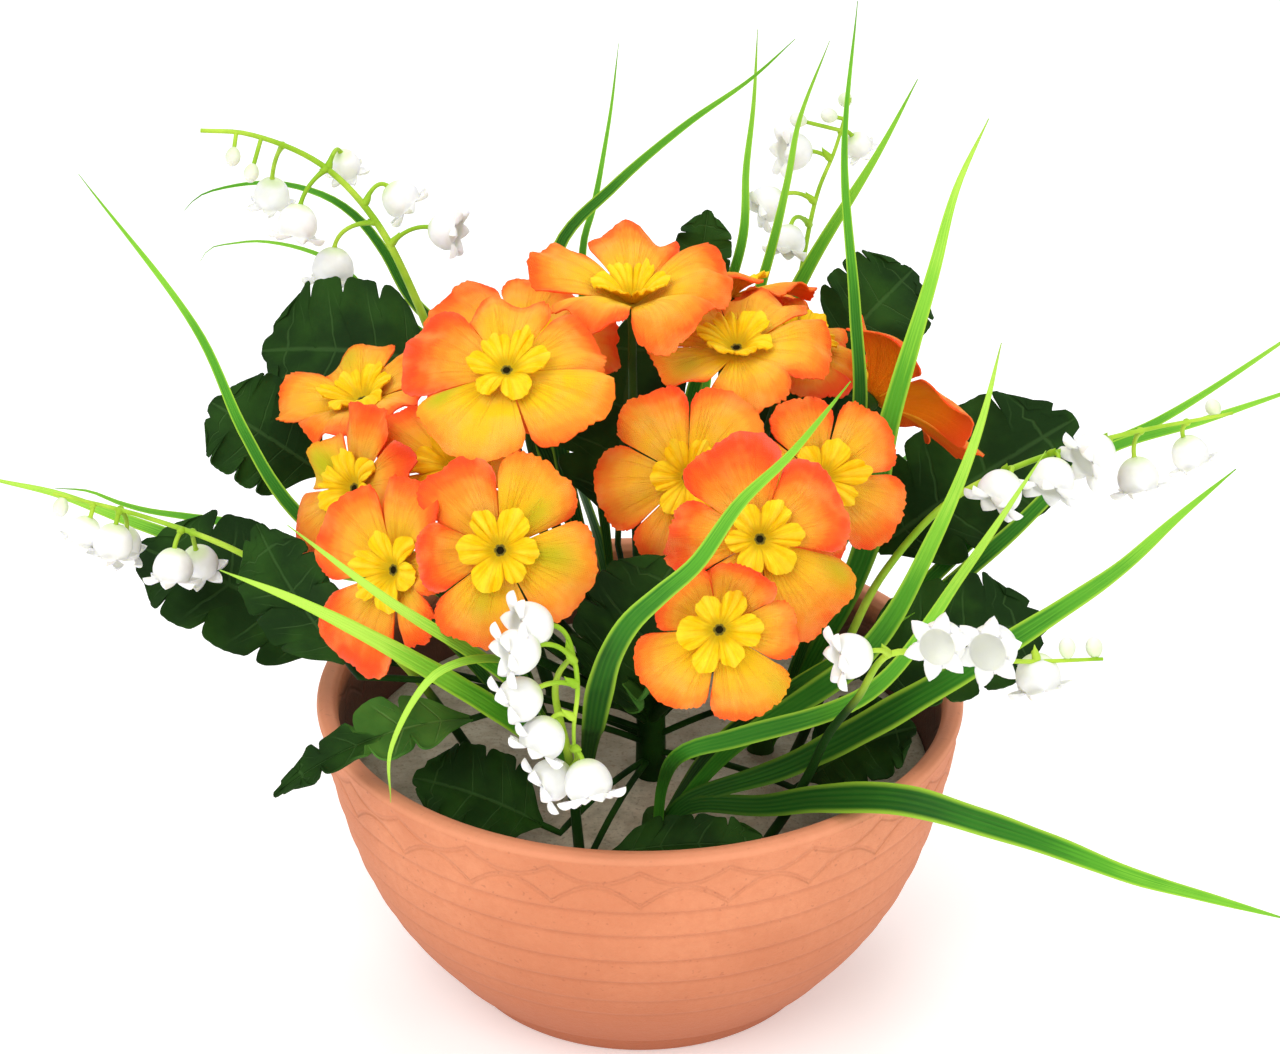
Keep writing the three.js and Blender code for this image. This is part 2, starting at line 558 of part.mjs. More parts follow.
function makeBlade(points, width, face) {
  const route = smoothPoints(points, BLADE_STEPS);
  const rings = route.map((point, i) => {
    const before = route[Math.max(i - 1, 0)];
    const after = route[Math.min(i + 1, BLADE_STEPS)];
    const along = after.clone().sub(before).normalize();
    const across = vector(face).cross(along).normalize();
    const up = along.clone().cross(across);
    const share = i / BLADE_STEPS;
    const swell = share < 0.4 ? mix(0.5, 1, share / 0.4) : ((1 - share) / 0.6) ** 1.1;
    const half = (width / 2) * Math.max(swell, 0.12);
    const thick = BLADE_THICKNESS / 2;
    return [[-half, -thick], [half, -thick], [half, thick], [-half, thick]].map(([a, b]) =>
      point.clone().addScaledVector(across, a).addScaledVector(up, b),
    );
  });
  return skin(rings);
}

function makeClump([x, y], radius, blades) {
  const bottom = vector([x, y, FILL_TOP - HOLE_DEPTH + GAP]);
  const top = vector([x, y, FILL_TOP + 8]);
  const parts = [tube([bottom, top], [radius, 0.7 * radius], 6)];
  for (const [points, width, face] of blades) {
    const lean = vector([points[0][0] - x, points[0][1] - y, 0]).setLength(0.5 * radius);
    const root = vector([x, y, FILL_TOP + 3]).add(lean);
    parts.push(makeBlade([root, ...points.map(vector)], width, face));
  }
  return joined(parts);
}

// A bell with six pointed lobes turned out at its mouth: crown, belly and lip.
const BELL_SIDES = 6;
const BELL_LENGTH = 10;
const BELL_RADIUS = 5.6;

function makeBell(crown, mouth, size) {
  const along = vector(mouth).normalize();
  const across = new THREE.Vector3(0.3, 0.9, 0.1);
  across.addScaledVector(along, -across.dot(along)).normalize();
  const third = along.clone().cross(across);
  const place = (radius, turn, depth) =>
    vector(crown)
      .addScaledVector(across, size * radius * Math.cos(turn))
      .addScaledVector(third, size * radius * Math.sin(turn))
      .addScaledVector(along, size * depth);
  const step = Math.PI / BELL_SIDES;
  const points = [place(0, 0, 0)];
  for (let k = 0; k < BELL_SIDES; k++) points.push(place(BELL_RADIUS * 0.8, 2 * k * step, 2));
  for (let k = 0; k < BELL_SIDES; k++) points.push(place(BELL_RADIUS, 2 * k * step, 6));
  for (let k = 0; k < 2 * BELL_SIDES; k++) {
    const tip = k % 2 === 0;
    points.push(place(BELL_RADIUS * (tip ? 1.35 : 0.72), k * step, tip ? BELL_LENGTH : BELL_LENGTH - 1.2));
  }
  const inner = points.push(place(0, 0, 5)) - 1;
  const belly = 1 + BELL_SIDES;
  const lip = belly + BELL_SIDES;
  const triangles = [];
  for (let k = 0; k < BELL_SIDES; k++) {
    const next = (k + 1) % BELL_SIDES;
    triangles.push([0, 1 + next, 1 + k]);
    triangles.push([1 + k, 1 + next, belly + next], [1 + k, belly + next, belly + k]);
    const [here, notch, there] = [lip + 2 * k, lip + 2 * k + 1, lip + 2 * next];
    triangles.push([belly + k, notch, here], [belly + k, belly + next, notch],
      [belly + next, there, notch]);
    triangles.push([inner, here, notch], [inner, notch, there]);
  }
  return indexed(points, triangles);
}

function makeBud(at, from) {
  const away = vector(at).sub(from).setLength(2.6);
  const near = vector(at).sub(away);
  const tip = vector(at).add(away);
  return tube([from, near, vector(at), tip], [PEDICEL_RADIUS, PEDICEL_RADIUS, 2.1, 0.8], 4);
}

// The place on a stem, made of straight lengths, that is nearest to a point.
function nearest(route, point) {
  const places = route.slice(1).map((end, i) => {
    const place = new THREE.Vector3();
    return new THREE.Line3(route[i], end).closestPointToPoint(point, true, place);
  });
  return places.reduce((best, next) => (next.distanceTo(point) < best.distanceTo(point) ? next : best));
}

const STEM_STEPS = 9;
const STEM_RADIUS = 1.5;
const PEDICEL_RADIUS = 0.6;

function makeSpray([x, y], points, bells, buds) {
  const foot = vector([x, y, FILL_TOP - HOLE_DEPTH + GAP]);
  const level = vector([x, y, FILL_TOP + 4]);
  const route = [foot, ...smoothPoints([level, ...points.map(vector)], STEM_STEPS)];
  const parts = [tube(route, route.map((_, i) => mix(STEM_RADIUS, 0.8, i / route.length)), 4)];
  for (const [crown, mouth, size] of bells) {
    const into = vector(crown).addScaledVector(vector(mouth).normalize(), 2 * size);
    parts.push(tube([nearest(route, vector(crown)), into], [0.8, PEDICEL_RADIUS], 3));
    parts.push(makeBell(crown, mouth, size));
  }
  for (const at of buds) parts.push(makeBud(at, nearest(route, vector(at))));
  return joined(parts);
}

// Materials, one for each finish.
const finish = (color, roughness) => new THREE.MeshStandardMaterial({ color, roughness, metalness: 0 });
const TERRACOTTA = finish(0xe49870, 0.7);
const FILL_GREY = finish(0x96917d, 0.95);
const PETAL_ORANGE = finish(0xff7f2e, 0.8);
const CENTRE_YELLOW = finish(0xf0c814, 0.8);
const STEM_GREEN = finish(0x1d4a1f, 0.6);
const LEAF_GREEN = finish(0x1f4527, 0.75);
const GRASS_GREEN = finish(0x3f8f2a, 0.45);
const BELL_WHITE = finish(0xf4f4ee, 0.5);

const plant = new THREE.Group();

function place(name, geometry, material, matrix) {
  const mesh = new THREE.Mesh(geometry, material);
  mesh.name = name;
  if (matrix) mesh.applyMatrix4(matrix);
  plant.add(mesh);
}

const feet = [[...TRUNK_FOOT, TRUNK_RADIUS + HOLE_CLEARANCE]];
for (const [, foot, radius] of CLUMPS) feet.push([...foot, radius + HOLE_CLEARANCE]);
for (const [, foot] of SPRAYS) feet.push([...foot, STEM_RADIUS + HOLE_CLEARANCE]);

place("bowl", makeBowl(), TERRACOTTA);
place("fill", geometryOf(makeFill(feet)), FILL_GREY);
place("bush_stems", geometryOf(makeBush()), STEM_GREEN);
for (const [name, at, facing, radius, cup, petals] of BLOOMS) {
  const frame = bloomFrame(facing).setPosition(...at);
  place("bloom_" + name + "_petals", makePetals(radius, cup, petals), PETAL_ORANGE, frame);
  place("bloom_" + name + "_centre", makeCentre(CENTRE_RISE + 0.35 * cup * radius), CENTRE_YELLOW, frame);
}
for (const [name, base, tip, face, halfWidth, arch] of LEAVES) {
  place("leaf_" + name, makeLeaf(base, tip, face, halfWidth, arch), LEAF_GREEN);
}
for (const [name, foot, radius, blades] of CLUMPS) {
  place("grass_" + name, geometryOf(makeClump(foot, radius, blades)), GRASS_GREEN);
}
for (const [name, foot, points, bells, buds] of SPRAYS) {
  place("spray_" + name, geometryOf(makeSpray(foot, points, bells, buds)), BELL_WHITE);
}

export default plant;
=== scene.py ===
"""The looks of the potted primrose: an artificial bush of orange primroses in a terracotta
bowl, with grass blades and lily-of-the-valley sprays. The lists of places are the ones that the
solids are made from, in millimetres. Every piece is turned into metres where its mesh is made.
"""

import math

import bpy
import numpy as np
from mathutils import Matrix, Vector


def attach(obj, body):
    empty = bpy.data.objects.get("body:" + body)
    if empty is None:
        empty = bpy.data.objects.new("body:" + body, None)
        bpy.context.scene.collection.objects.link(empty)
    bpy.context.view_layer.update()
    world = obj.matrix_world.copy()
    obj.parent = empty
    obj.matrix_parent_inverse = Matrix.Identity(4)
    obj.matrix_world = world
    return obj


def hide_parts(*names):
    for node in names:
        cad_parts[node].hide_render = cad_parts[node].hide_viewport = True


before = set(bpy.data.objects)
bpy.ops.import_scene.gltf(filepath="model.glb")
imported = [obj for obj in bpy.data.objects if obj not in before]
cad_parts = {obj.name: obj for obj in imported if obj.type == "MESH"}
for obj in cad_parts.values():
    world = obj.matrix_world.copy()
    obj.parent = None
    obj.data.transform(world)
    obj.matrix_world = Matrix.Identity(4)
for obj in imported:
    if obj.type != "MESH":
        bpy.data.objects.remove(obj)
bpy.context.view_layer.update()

MM = 0.001

# The radius at which a turned profile reaches its axis, small enough to close.
AXIS = 0.01

# The bowl: its sizes, and the height and outer radius of its side from the foot up.
RIM_RADIUS = 90.0
BOWL_HEIGHT = 88.0
FOOT_RADIUS = 52.0
WALL = 4.0
FLOOR_THICKNESS = 5.0
FLOOR_RADIUS = 47.5
LIP_ROUND = 2.6
RING_LEDGE = 0.9
RING_STEP = 0.55
RING_EDGES = [69.5, 61, 51.5, 43, 34.5, 27.5]
SIDE = [
    (9, 59.5), (12, 61.8), (20, 68), (30, 74.4), (40, 79.2),
    (50, 82.6), (60, 85.2), (70, 87.3), (80, 88.8), (88, 90),
]

# The band of diamonds under the bowl's lip, made by two wavy lines round the bowl: how often they
# wave, and in metres their heights where they are furthest apart, how far they swing together,
# and the half width and depth of their grooves.
BAND_REPEATS = 24.0
BAND_TOP = 0.083
BAND_FOOT = 0.0716
TOP_SWING = 0.0043
FOOT_SWING = 0.0062
GROOVE_HALF_WIDTH = 0.00175
GROOVE_DEPTH = 0.0003

# The fill, and the holes in it. The last three are in metres: how high its lumps are, above
# which height it has them, and within which radius.
FILL_TOP = 64.0
HOLE_DEPTH = 14.0
GAP = 0.3
HOLE_FLOOR = FILL_TOP - HOLE_DEPTH + GAP
FILL_CROWN = 1.5
LUMP_HEIGHT = 0.00028
LUMPS_ABOVE = 0.0636
LUMPS_WITHIN = 0.078

# The blooms: their petals, and the yellow cup in the middle of each. The angle is in degrees.
PETAL_THICKNESS = 0.45
PETAL_HALF_ANGLE = 50.0
FOLD_SHARE = 0.4
HUB_RADIUS = 3.2
CUP_THICKNESS = 0.5
CENTRE_RADIUS = 10.5
CENTRE_RISE = 4.2
CENTRE_LIFT = 1.0

# The leaves. The notches in their edges are measured in shares of a leaf's length.
LEAF_THICKNESS = 0.5
LOBE_LENGTH = 0.22
FIRST_NOTCH = 0.335
LEAF_WAVE = 1.4
LEAF_FOLD = 0.22

# The bush's trunk with its stalks, and the sprays.
TRUNK_FOOT = (3, -11)
TRUNK_TOP = 92.0
TRUNK_RADIUS = 4.5
STALK_RADIUS = 1.1
PETIOLE_RADIUS = 0.9
STEM_RADIUS = 1.5
PEDICEL_RADIUS = 0.6
BELL_LENGTH = 10.0

# Each bloom: its name, the middle of its petals, the way it faces (degrees round from the
# front, and up from level), its radius, how far its petals cup, and for each petal its angle,
# its share of the radius and how far its outer half folds forward.
BLOOMS = [
    ("top", (-2, -6, 204), (0, 83), 27, 0.28,
     [(18, 1), (88, 1), (160, 1), (232, 0.9), (305, 0.95)]),
    ("top_right", (25, -12, 193), (-12, 74), 26, 0.1,
     [(5, 0.95), (78, 1), (150, 0.95), (222, 0.9), (292, 0.9)]),
    ("upper_left", (-33, -44, 201), (-4, 58), 26.5, 0.06,
     [(24, 0.95), (92, 0.9), (163, 1), (240, 1), (340, 1.05)]),
    ("far_left", (-73, -5, 175), (-60, 72), 23.5, 0.2,
     [(10, 0.88), (82, 0.8), (154, 1), (226, 1), (298, 0.84)]),
    ("left", (-72, -38, 166), (-48, 30), 23, 0.16,
     [(35, 0.9), (95, 0.95), (165, 0.8), (240, 1.05), (310, 0.9)]),
    ("inner_left", (-47, -36, 171), (-20, 42), 22.5, 0.14,
     [(20, 0.8), (95, 1), (165, 1), (235, 1), (305, 1)]),
    ("front_left", (-34, -76, 168), (4, 28), 24.5, 0.08,
     [(58, 1), (124, 1.02), (184, 1, 0.4), (247, 1), (345, 0.98)]),
    ("low_left", (-60, -69, 159), (-42, 22), 25, 0.12,
     [(15, 0.7), (88, 0.95), (158, 1), (262, 1.1), (325, 0.8)]),
    ("middle", (12, -46, 173), (-4, 32), 24, 0.08,
     [(62, 1.02), (118, 1.02), (190, 0.98), (262, 0.98), (334, 0.95)]),
    ("right", (46, -38, 169), (18, 32), 22.5, 0.1,
     [(35, 1), (100, 0.95), (170, 1), (245, 1), (318, 1.05)]),
    ("front_right", (29, -72, 169), (12, 30), 25, 0.1,
     [(20, 0.95), (112, 1.05), (172, 0.9), (235, 0.75), (305, 1.1)]),
    ("low_front", (19, -92, 155), (2, 22), 22.5, 0.06,
     [(58, 0.95, 0.5), (140, 0.85, 0.3), (222, 1), (300, 1.05), (358, 0.85)]),
    ("right_high", (42, 12, 184), (70, 66), 23, 0.05,
     [(0, 0.95), (72, 0.95), (144, 1), (216, 1), (288, 0.9)]),
    ("far_right", (62, -1, 175), (119, 31), 27, 0.37,
     [(50, 0.8), (120, 1), (184, 1.1), (240, 1.15), (304, 1.15)]),
    ("behind_left", (-32, 4, 187), (0, 66), 27, 0.06,
     [(2, 1), (70, 1), (142, 1), (215, 1), (288, 0.95)]),
    ("back", (24, 30, 191), (170, 60), 24, 0.14, [(20, 1), (92, 1), (164, 1), (236, 1), (308, 1)]),
]

# How each bloom is dyed: how far its red margin comes in, for each petal, and the petals that
# carry a green patch: petal, place across (-1 to 1), place outward (0 to 1), size, strength.
RED_EVEN = (0.0, 0.06, -0.04, 0.05, -0.02)
DYES = {
    "top": ((0.05, 0.1, 0.0, -0.02, 0.02), []),
    "top_right": ((-0.05, 0.0, -0.02, -0.12, -0.08), [(3, 0.0, 0.6, 0.35, 0.7)]),
    "upper_left": ((-0.02, -0.06, 0.3, -0.28, -0.16), [(3, -0.85, 0.75, 0.3, 0.9)]),
    "far_left": ((0.1, 0.12, 0.0, -0.06, 0.1), [(2, 0.2, 0.7, 0.35, 0.6)]),
    "left": ((0.22, 0.2, -0.1, 0.24, 0.18), [(2, 0.1, 0.6, 0.6, 0.95)]),
    "inner_left": ((0.0, 0.08, 0.14, 0.1, 0.02), [(3, 0.3, 0.8, 0.3, 0.35)]),
    "front_left": ((-0.1, 0.18, 0.28, 0.0, -0.08), [(0, -0.4, 0.5, 0.4, 0.75),
                                                   (4, 0.2, 0.5, 0.45, 0.8),
                                                   (3, 0.0, 0.5, 0.35, 0.6)]),
    "low_left": ((0.12, 0.1, 0.14, 0.26, 0.1), [(3, -0.4, 0.35, 0.3, 0.3)]),
    "middle": ((-0.06, 0.02, 0.0, 0.12, 0.0), [(1, 0.3, 0.75, 0.3, 0.25)]),
    "right": ((0.02, 0.08, 0.04, 0.14, 0.1), [(2, 0.1, 0.8, 0.3, 0.3)]),
    "front_right": ((0.26, 0.3, 0.2, 0.12, 0.06), [(4, 0.75, 0.8, 0.35, 0.7)]),
    "low_front": ((0.2, 0.16, -0.02, -0.06, -0.04), [(3, 0.5, 0.9, 0.45, 0.6)]),
    "right_high": ((0.0, 0.05, 0.1, 0.12, 0.0), []),
    "far_right": ((0.0, 0.1, 0.16, 0.1, -0.2), [(4, 0.0, 0.55, 0.5, 0.6)]),
    "behind_left": ((0.05, 0.08, 0.1, 0.04, 0.06), []),
    "back": (RED_EVEN, []),
}

# Each leaf: its name, base, tip, the way its upper side faces, half its width, how far its
# middle arches, and the height at which its stalk leaves the trunk.
LEAVES = [
    ("left_high", (-56, 28, 172), (-104, 32, 174), (0.1, -0.62, 0.78), 20, 4, 84),
    ("left_middle", (-86, 1, 152), (-115, 7, 170), (-0.35, -0.6, 0.7), 15, 4, 80),
    ("left_low", (-80, -14, 106), (-137, 2, 129), (-0.1, -0.55, 0.83), 18, 5, 76),
    ("left_inner", (-76, -46, 120), (-98, -40, 157), (-0.4, -0.75, 0.5), 12, 4, 78),
    ("over_rim", (-44, -46, 103), (-95, -62, 89), (-0.1, -0.5, 0.86), 10, 9, 74),
    ("centre", (-8, -36, 104), (10, -66, 162), (-0.35, -0.85, 0.35), 15, 5, 80),
    ("right_high", (54, 40, 171), (76, 52, 190), (0.2, -0.72, 0.66), 15, 4, 84),
    ("right_middle", (66, 16, 121), (120, 25, 157), (0.1, -0.66, 0.74), 19, 5, 80),
    ("right_low", (58, -32, 108), (108, -22, 119), (0.1, -0.6, 0.8), 17, 4, 76),
    ("top_back", (15, 60, 178), (19, 62, 204), (0.1, -0.6, 0.5), 8, 3, 86),
    ("bowl_left", (-26, -52, 74), (-60, -48, 86), (0.2, -0.5, 0.84), 13, 3, 70),
    ("bowl_front", (-8, -60, 70), (34, -66, 76), (-0.1, -0.4, 0.9), 8, 3, 70),
    ("bowl_right", (46, -32, 76), (74, -32, 92), (-0.2, -0.45, 0.87), 14, 4, 72),
    ("back_left", (-6, 21, 126), (-1, 31, 184), (-0.2, 0.9, 0.3), 18, 4, 82),
    ("back_right", (34, 24, 112), (60, 40, 168), (0.3, 0.9, 0.4), 21, 4, 80),
]

# Each clump of grass: its name, its foot in the fill, its radius there, and its blades:
# the points that a blade passes after the foot, its full width, and the way its flat side
# faces.
UP_FRONT = (0, -0.6, 0.8)
FRONT = (0, -1, 0.25)
CLUMPS = [
    ("front", (4, -42), 4.2,
     [([(6, -48, 84), (12, -64, 104), (26, -60, 106), (58, -62, 120), (80, -68, 158),
        (98, -70, 192)], 5.5, FRONT),
      ([(12, -44, 76), (40, -48, 90), (80, -56, 121), (106, -57, 141), (121, -55, 152),
        (135, -52, 165), (149, -49, 177)], 8.5, UP_FRONT),
      ([(14, -46, 76), (32, -54, 81), (47, -65, 90), (67, -77, 97), (86, -84, 95), (104, -89, 91),
        (124, -92, 84), (143, -94, 79), (164, -95, 73)], 9, UP_FRONT),
      ([(24, -40, 90), (58, -50, 125), (74, -58, 164), (83, -60, 194), (87, -60, 216)], 6.5,
       FRONT), ([(18, -34, 84), (42, -36, 108), (72, -34, 128)], 5, UP_FRONT)]),
    ("left", (-16, -24), 4.2,
     [([(-22, -40, 88), (-30, -60, 108), (-50, -84, 138), (-80, -96, 164), (-100, -92, 171)], 8,
       UP_FRONT),
      ([(-24, -44, 98), (-34, -74, 132), (-60, -96, 165), (-83, -94, 184)], 6, UP_FRONT),
      ([(-26, -46, 104), (-36, -80, 140), (-50, -96, 144), (-60, -102, 128), (-61, -100, 111)], 4,
       UP_FRONT),
      ([(-13, -44, 96), (-12, -60, 109), (-10, -76, 129), (-7, -88, 146), (-2, -97, 160),
        (5, -102, 170), (13, -106, 180), (23, -110, 198), (34, -112, 211), (47, -112, 229)], 7,
       FRONT),
      ([(-50, -18, 110), (-91, -24, 154), (-103, -18, 173), (-115, -6, 196), (-147, 17, 231)], 4.4,
       FRONT),
      ([(-48, -6, 117), (-80, 3, 121), (-103, 6, 122), (-114, 7, 124), (-128, 8, 129),
        (-143, 10, 134), (-160, 14, 139), (-176, 18, 141), (-188, 22, 142)], 6.5, UP_FRONT),
      ([(-50, 6, 118), (-97, 10, 124), (-109, 14, 129), (-125, 18, 130), (-137, 20, 131),
        (-145, 21, 133), (-153, 22, 136), (-163, 24, 136)], 5, UP_FRONT)]),
    ("back", (-4, 40), 4.2,
     [([(-34, 50, 150), (-64, 60, 177), (-72, 63, 191), (-79, 65, 200), (-88, 67, 206),
        (-103, 70, 209), (-118, 71, 207), (-125, 72, 204), (-129, 72, 200)], 5, UP_FRONT),
      ([(-34, 60, 140), (-76, 62, 178), (-85, 63, 187), (-95, 65, 191), (-107, 66, 193),
        (-115, 67, 192), (-122, 68, 190), (-125, 68, 186)], 3.5, UP_FRONT),
      ([(-24, 44, 150), (-23, 54, 195), (-7, 60, 212), (12, 66, 227), (31, 72, 239),
        (43, 76, 249)], 5, FRONT),
      ([(-14, 56, 150), (-16, 62, 193), (-13, 68, 203), (-10, 76, 217), (-8, 82, 228),
        (-6, 88, 244)], 3.5, FRONT),
      ([(16, 64, 150), (29, 68, 193), (30, 76, 211), (32, 82, 228), (33, 88, 248)], 4.5, FRONT),
      ([(24, 54, 150), (36, 56, 192), (41, 61, 213), (44, 65, 229), (52, 68, 251)], 4.5, FRONT),
      ([(30, 52, 150), (46, 56, 187), (66, 58, 223), (76, 62, 242)], 6.5, FRONT),
      ([(10, 66, 114), (20, 88, 146), (16, 108, 170)], 6, (0, 1, 0.3)),
      ([(-14, 66, 104), (-34, 94, 136), (-58, 120, 144)], 6, (0, 0.7, 0.7))]),
    ("right", (34, 2), 4.2,
     [([(52, -8, 130), (57, -16, 176), (54, -26, 212), (50, -28, 253), (52, -28, 291)], 4.5,
       FRONT),
      ([(60, -6, 130), (64, -21, 175), (74, -19, 217), (80, -10, 237), (88, -3, 253)], 7.5, FRONT),
      ([(68, 4, 104), (112, 14, 145), (145, 24, 158), (190, 36, 185)], 4.5, UP_FRONT),
      ([(66, -4, 102), (98, -4, 134), (124, 6, 155), (152, 12, 162), (192, 24, 171)], 5, UP_FRONT),
      ([(52, 26, 104), (74, 54, 128), (98, 86, 126)], 6, (0, 0.5, 0.8))]),
]

# Each spray: its name, its foot in the fill, the points its stem passes, its bells (the place
# of the crown, the way the mouth faces, the size), and the places of its buds.
SPRAYS = [
    ("left_high", (-26, 30),
     [(-42, 40, 120), (-62, 46, 183), (-74, 50, 207), (-88, 53, 221), (-107, 54, 229),
      (-120, 54, 230)],
     [((-93, 48, 211), (-0.2, -0.3, -1), 1), ((-85, 54, 196), (-0.1, -0.25, -1), 1.05),
      ((-58, 46, 205), (0.95, -0.25, -0.1), 0.95), ((-70, 57, 213), (0.7, -0.1, -0.7), 0.95),
      ((-102, 60, 214), (-0.1, 0.1, -1), 0.9), ((-83, 62, 221), (0.2, 0.3, -1), 0.8)],
     [(-111, 50, 224), (-106, 48, 220)]),
    ("back_right", (18, 46),
     [(38, 64, 120), (46, 79, 175), (51, 86, 200), (56, 90, 212), (60, 94, 226)],
     [((49, 88, 212), (-0.9, -0.3, 0.1), 1), ((41, 82, 201), (-0.85, -0.3, -0.4), 0.95),
      ((43, 74, 195), (-0.2, -0.5, -0.9), 0.9), ((61, 96, 214), (0.5, 0.2, -0.8), 0.7)],
     [(45, 86, 222), (54, 90, 222), (59, 98, 224)]),
    ("right", (42, -10),
     [(54, -24, 110), (64, -30, 138), (80, -24, 155), (99, -18, 163), (126, -8, 167),
      (158, 2, 169)],
     [((96, -26, 165), (-0.5, -0.5, -0.7), 1.05), ((109, -20, 166), (-0.3, -0.6, -0.7), 1.05),
      ((123, -14, 168), (-0.75, -0.5, -0.35), 1.1), ((132, -2, 158), (0.2, -0.3, -0.9), 1),
      ((145, 0, 163), (0.4, -0.2, -0.9), 0.9)], [(153, 3, 170)]),
    ("right_low", (34, -50),
     [(39, -53, 79), (44, -56, 92), (48, -66, 110), (54, -80, 129), (61, -88, 146), (76, -86, 144),
      (93, -83, 141), (114, -80, 140)],
     [((56, -92, 149), (-0.95, -0.25, -0.1), 1), ((75, -88, 150), (-0.4, -0.85, 0.25), 1.05),
      ((88, -86, 148), (-0.45, -0.85, 0.2), 1.1), ((97, -79, 141), (0.2, -0.3, -0.9), 1)],
     [(105, -80, 143), (112, -78, 142)]),
    ("left_low", (-40, -22),
     [(-66, -27, 112), (-104, -26, 141), (-130, -20, 149), (-155, -14, 153)],
     [((-122, -26, 143), (-0.1, -0.3, -1), 0.95), ((-138, -20, 147), (-0.2, -0.2, -1), 0.95),
      ((-145, -18, 148), (-0.4, -0.2, -0.9), 0.8), ((-118, -17, 138), (0.1, 0.3, -1), 0.9),
      ((-137, -12, 141), (-0.3, 0.3, -0.9), 0.9)], [(-153, -16, 150)]),
    ("front", (-16, -56),
     [(-18, -62, 98), (-21, -80, 131), (-19, -88, 142), (-16, -93, 147), (-15, -98, 142),
      (-16, -99, 132), (-16, -99, 126)],
     [((-21, -92, 156), (-0.9, -0.3, 0.15), 1.05), ((-24, -98, 154), (-0.9, -0.4, -0.1), 1),
      ((-24, -99, 143), (-0.85, -0.35, -0.4), 1), ((-21, -100, 135), (-0.45, -0.4, -0.8), 1),
      ((-17, -97, 119), (-0.85, -0.35, -0.4), 0.95),
      ((-14, -101, 124), (0.25, -0.5, -0.85), 1.05)], []),
]


# Small helpers for places and curves.
def vec(xyz):
    return np.array(xyz, float)


def unit(v):
    return v / np.linalg.norm(v)


def with_length(v, length):
    return unit(v) * length


def smooth_step(low, high, x):
    t = np.clip((np.asarray(x, float) - low) / (high - low), 0, 1)
    return t * t * (3 - 2 * t)


def smooth_route(points, steps):
    """Evenly spaced points on a centripetal Catmull-Rom curve through the points."""
    points = [vec(p) for p in points]
    ends = [2 * points[0] - points[1], *points, 2 * points[-1] - points[-2]]
    dense = []
    for p0, p1, p2, p3 in zip(ends, ends[1:], ends[2:], ends[3:]):
        t1 = np.linalg.norm(p1 - p0) ** 0.5
        t2 = t1 + np.linalg.norm(p2 - p1) ** 0.5
        t3 = t2 + np.linalg.norm(p3 - p2) ** 0.5
        for t in np.linspace(t1, t2, 24, endpoint=False):
            a1 = (t1 - t) / t1 * p0 + t / t1 * p1
            a2 = (t2 - t) / (t2 - t1) * p1 + (t - t1) / (t2 - t1) * p2
            a3 = (t3 - t) / (t3 - t2) * p2 + (t - t2) / (t3 - t2) * p3
            b1 = (t2 - t) / t2 * a1 + t / t2 * a2
            b2 = (t3 - t) / (t3 - t1) * a2 + (t - t1) / (t3 - t1) * a3
            dense.append((t2 - t) / (t2 - t1) * b1 + (t - t1) / (t2 - t1) * b2)
    dense = np.array([*dense, points[-1]])
    length = np.concatenate([[0], np.cumsum(np.linalg.norm(np.diff(dense, axis=0), axis=1))])
    wanted = np.linspace(0, length[-1], steps + 1)
    return np.stack([np.interp(wanted, length, dense[:, k]) for k in range(3)], axis=1)


def directions(route):
    """The way that a route runs at each of its points."""
    tangent = np.gradient(route, axis=0)
    return tangent / np.linalg.norm(tangent, axis=1)[:, None]


def wave_start(rng):
    """A random place in a wave for it to start at."""
    return rng.uniform(0, 6.3)


def bezier(controls, steps):
    """Points on a curve that starts at the first control point and ends at the last."""
    t = np.linspace(0, 1, steps + 1)[:, None]
    n = len(controls) - 1
    return sum(math.comb(n, k) * (1 - t) ** (n - k) * t**k * vec(c) for k, c in enumerate(controls))


def side_radius(height):
    """The outer radius of the bowl's side at a height, as a smooth curve."""
    return smooth_curve([z for z, _ in SIDE], [r for _, r in SIDE], height)


def smooth_curve(xs, ys, x):
    """A smooth line through the points, with no overshoot worth seeing."""
    xs = np.array(xs, float)
    ys = np.array(ys, float)
    slopes = np.gradient(ys, xs)
    x = np.clip(np.asarray(x, float), xs[0], xs[-1])
    i = np.clip(np.searchsorted(xs, x, side="right") - 1, 0, len(xs) - 2)
    step = xs[i + 1] - xs[i]
    t = (x - xs[i]) / step
    rise = (1 + 2 * t) * (1 - t) ** 2 * ys[i] + t * t * (3 - 2 * t) * ys[i + 1]
    return rise + step * (t * (1 - t) ** 2 * slopes[i] - t * t * (1 - t) * slopes[i + 1])


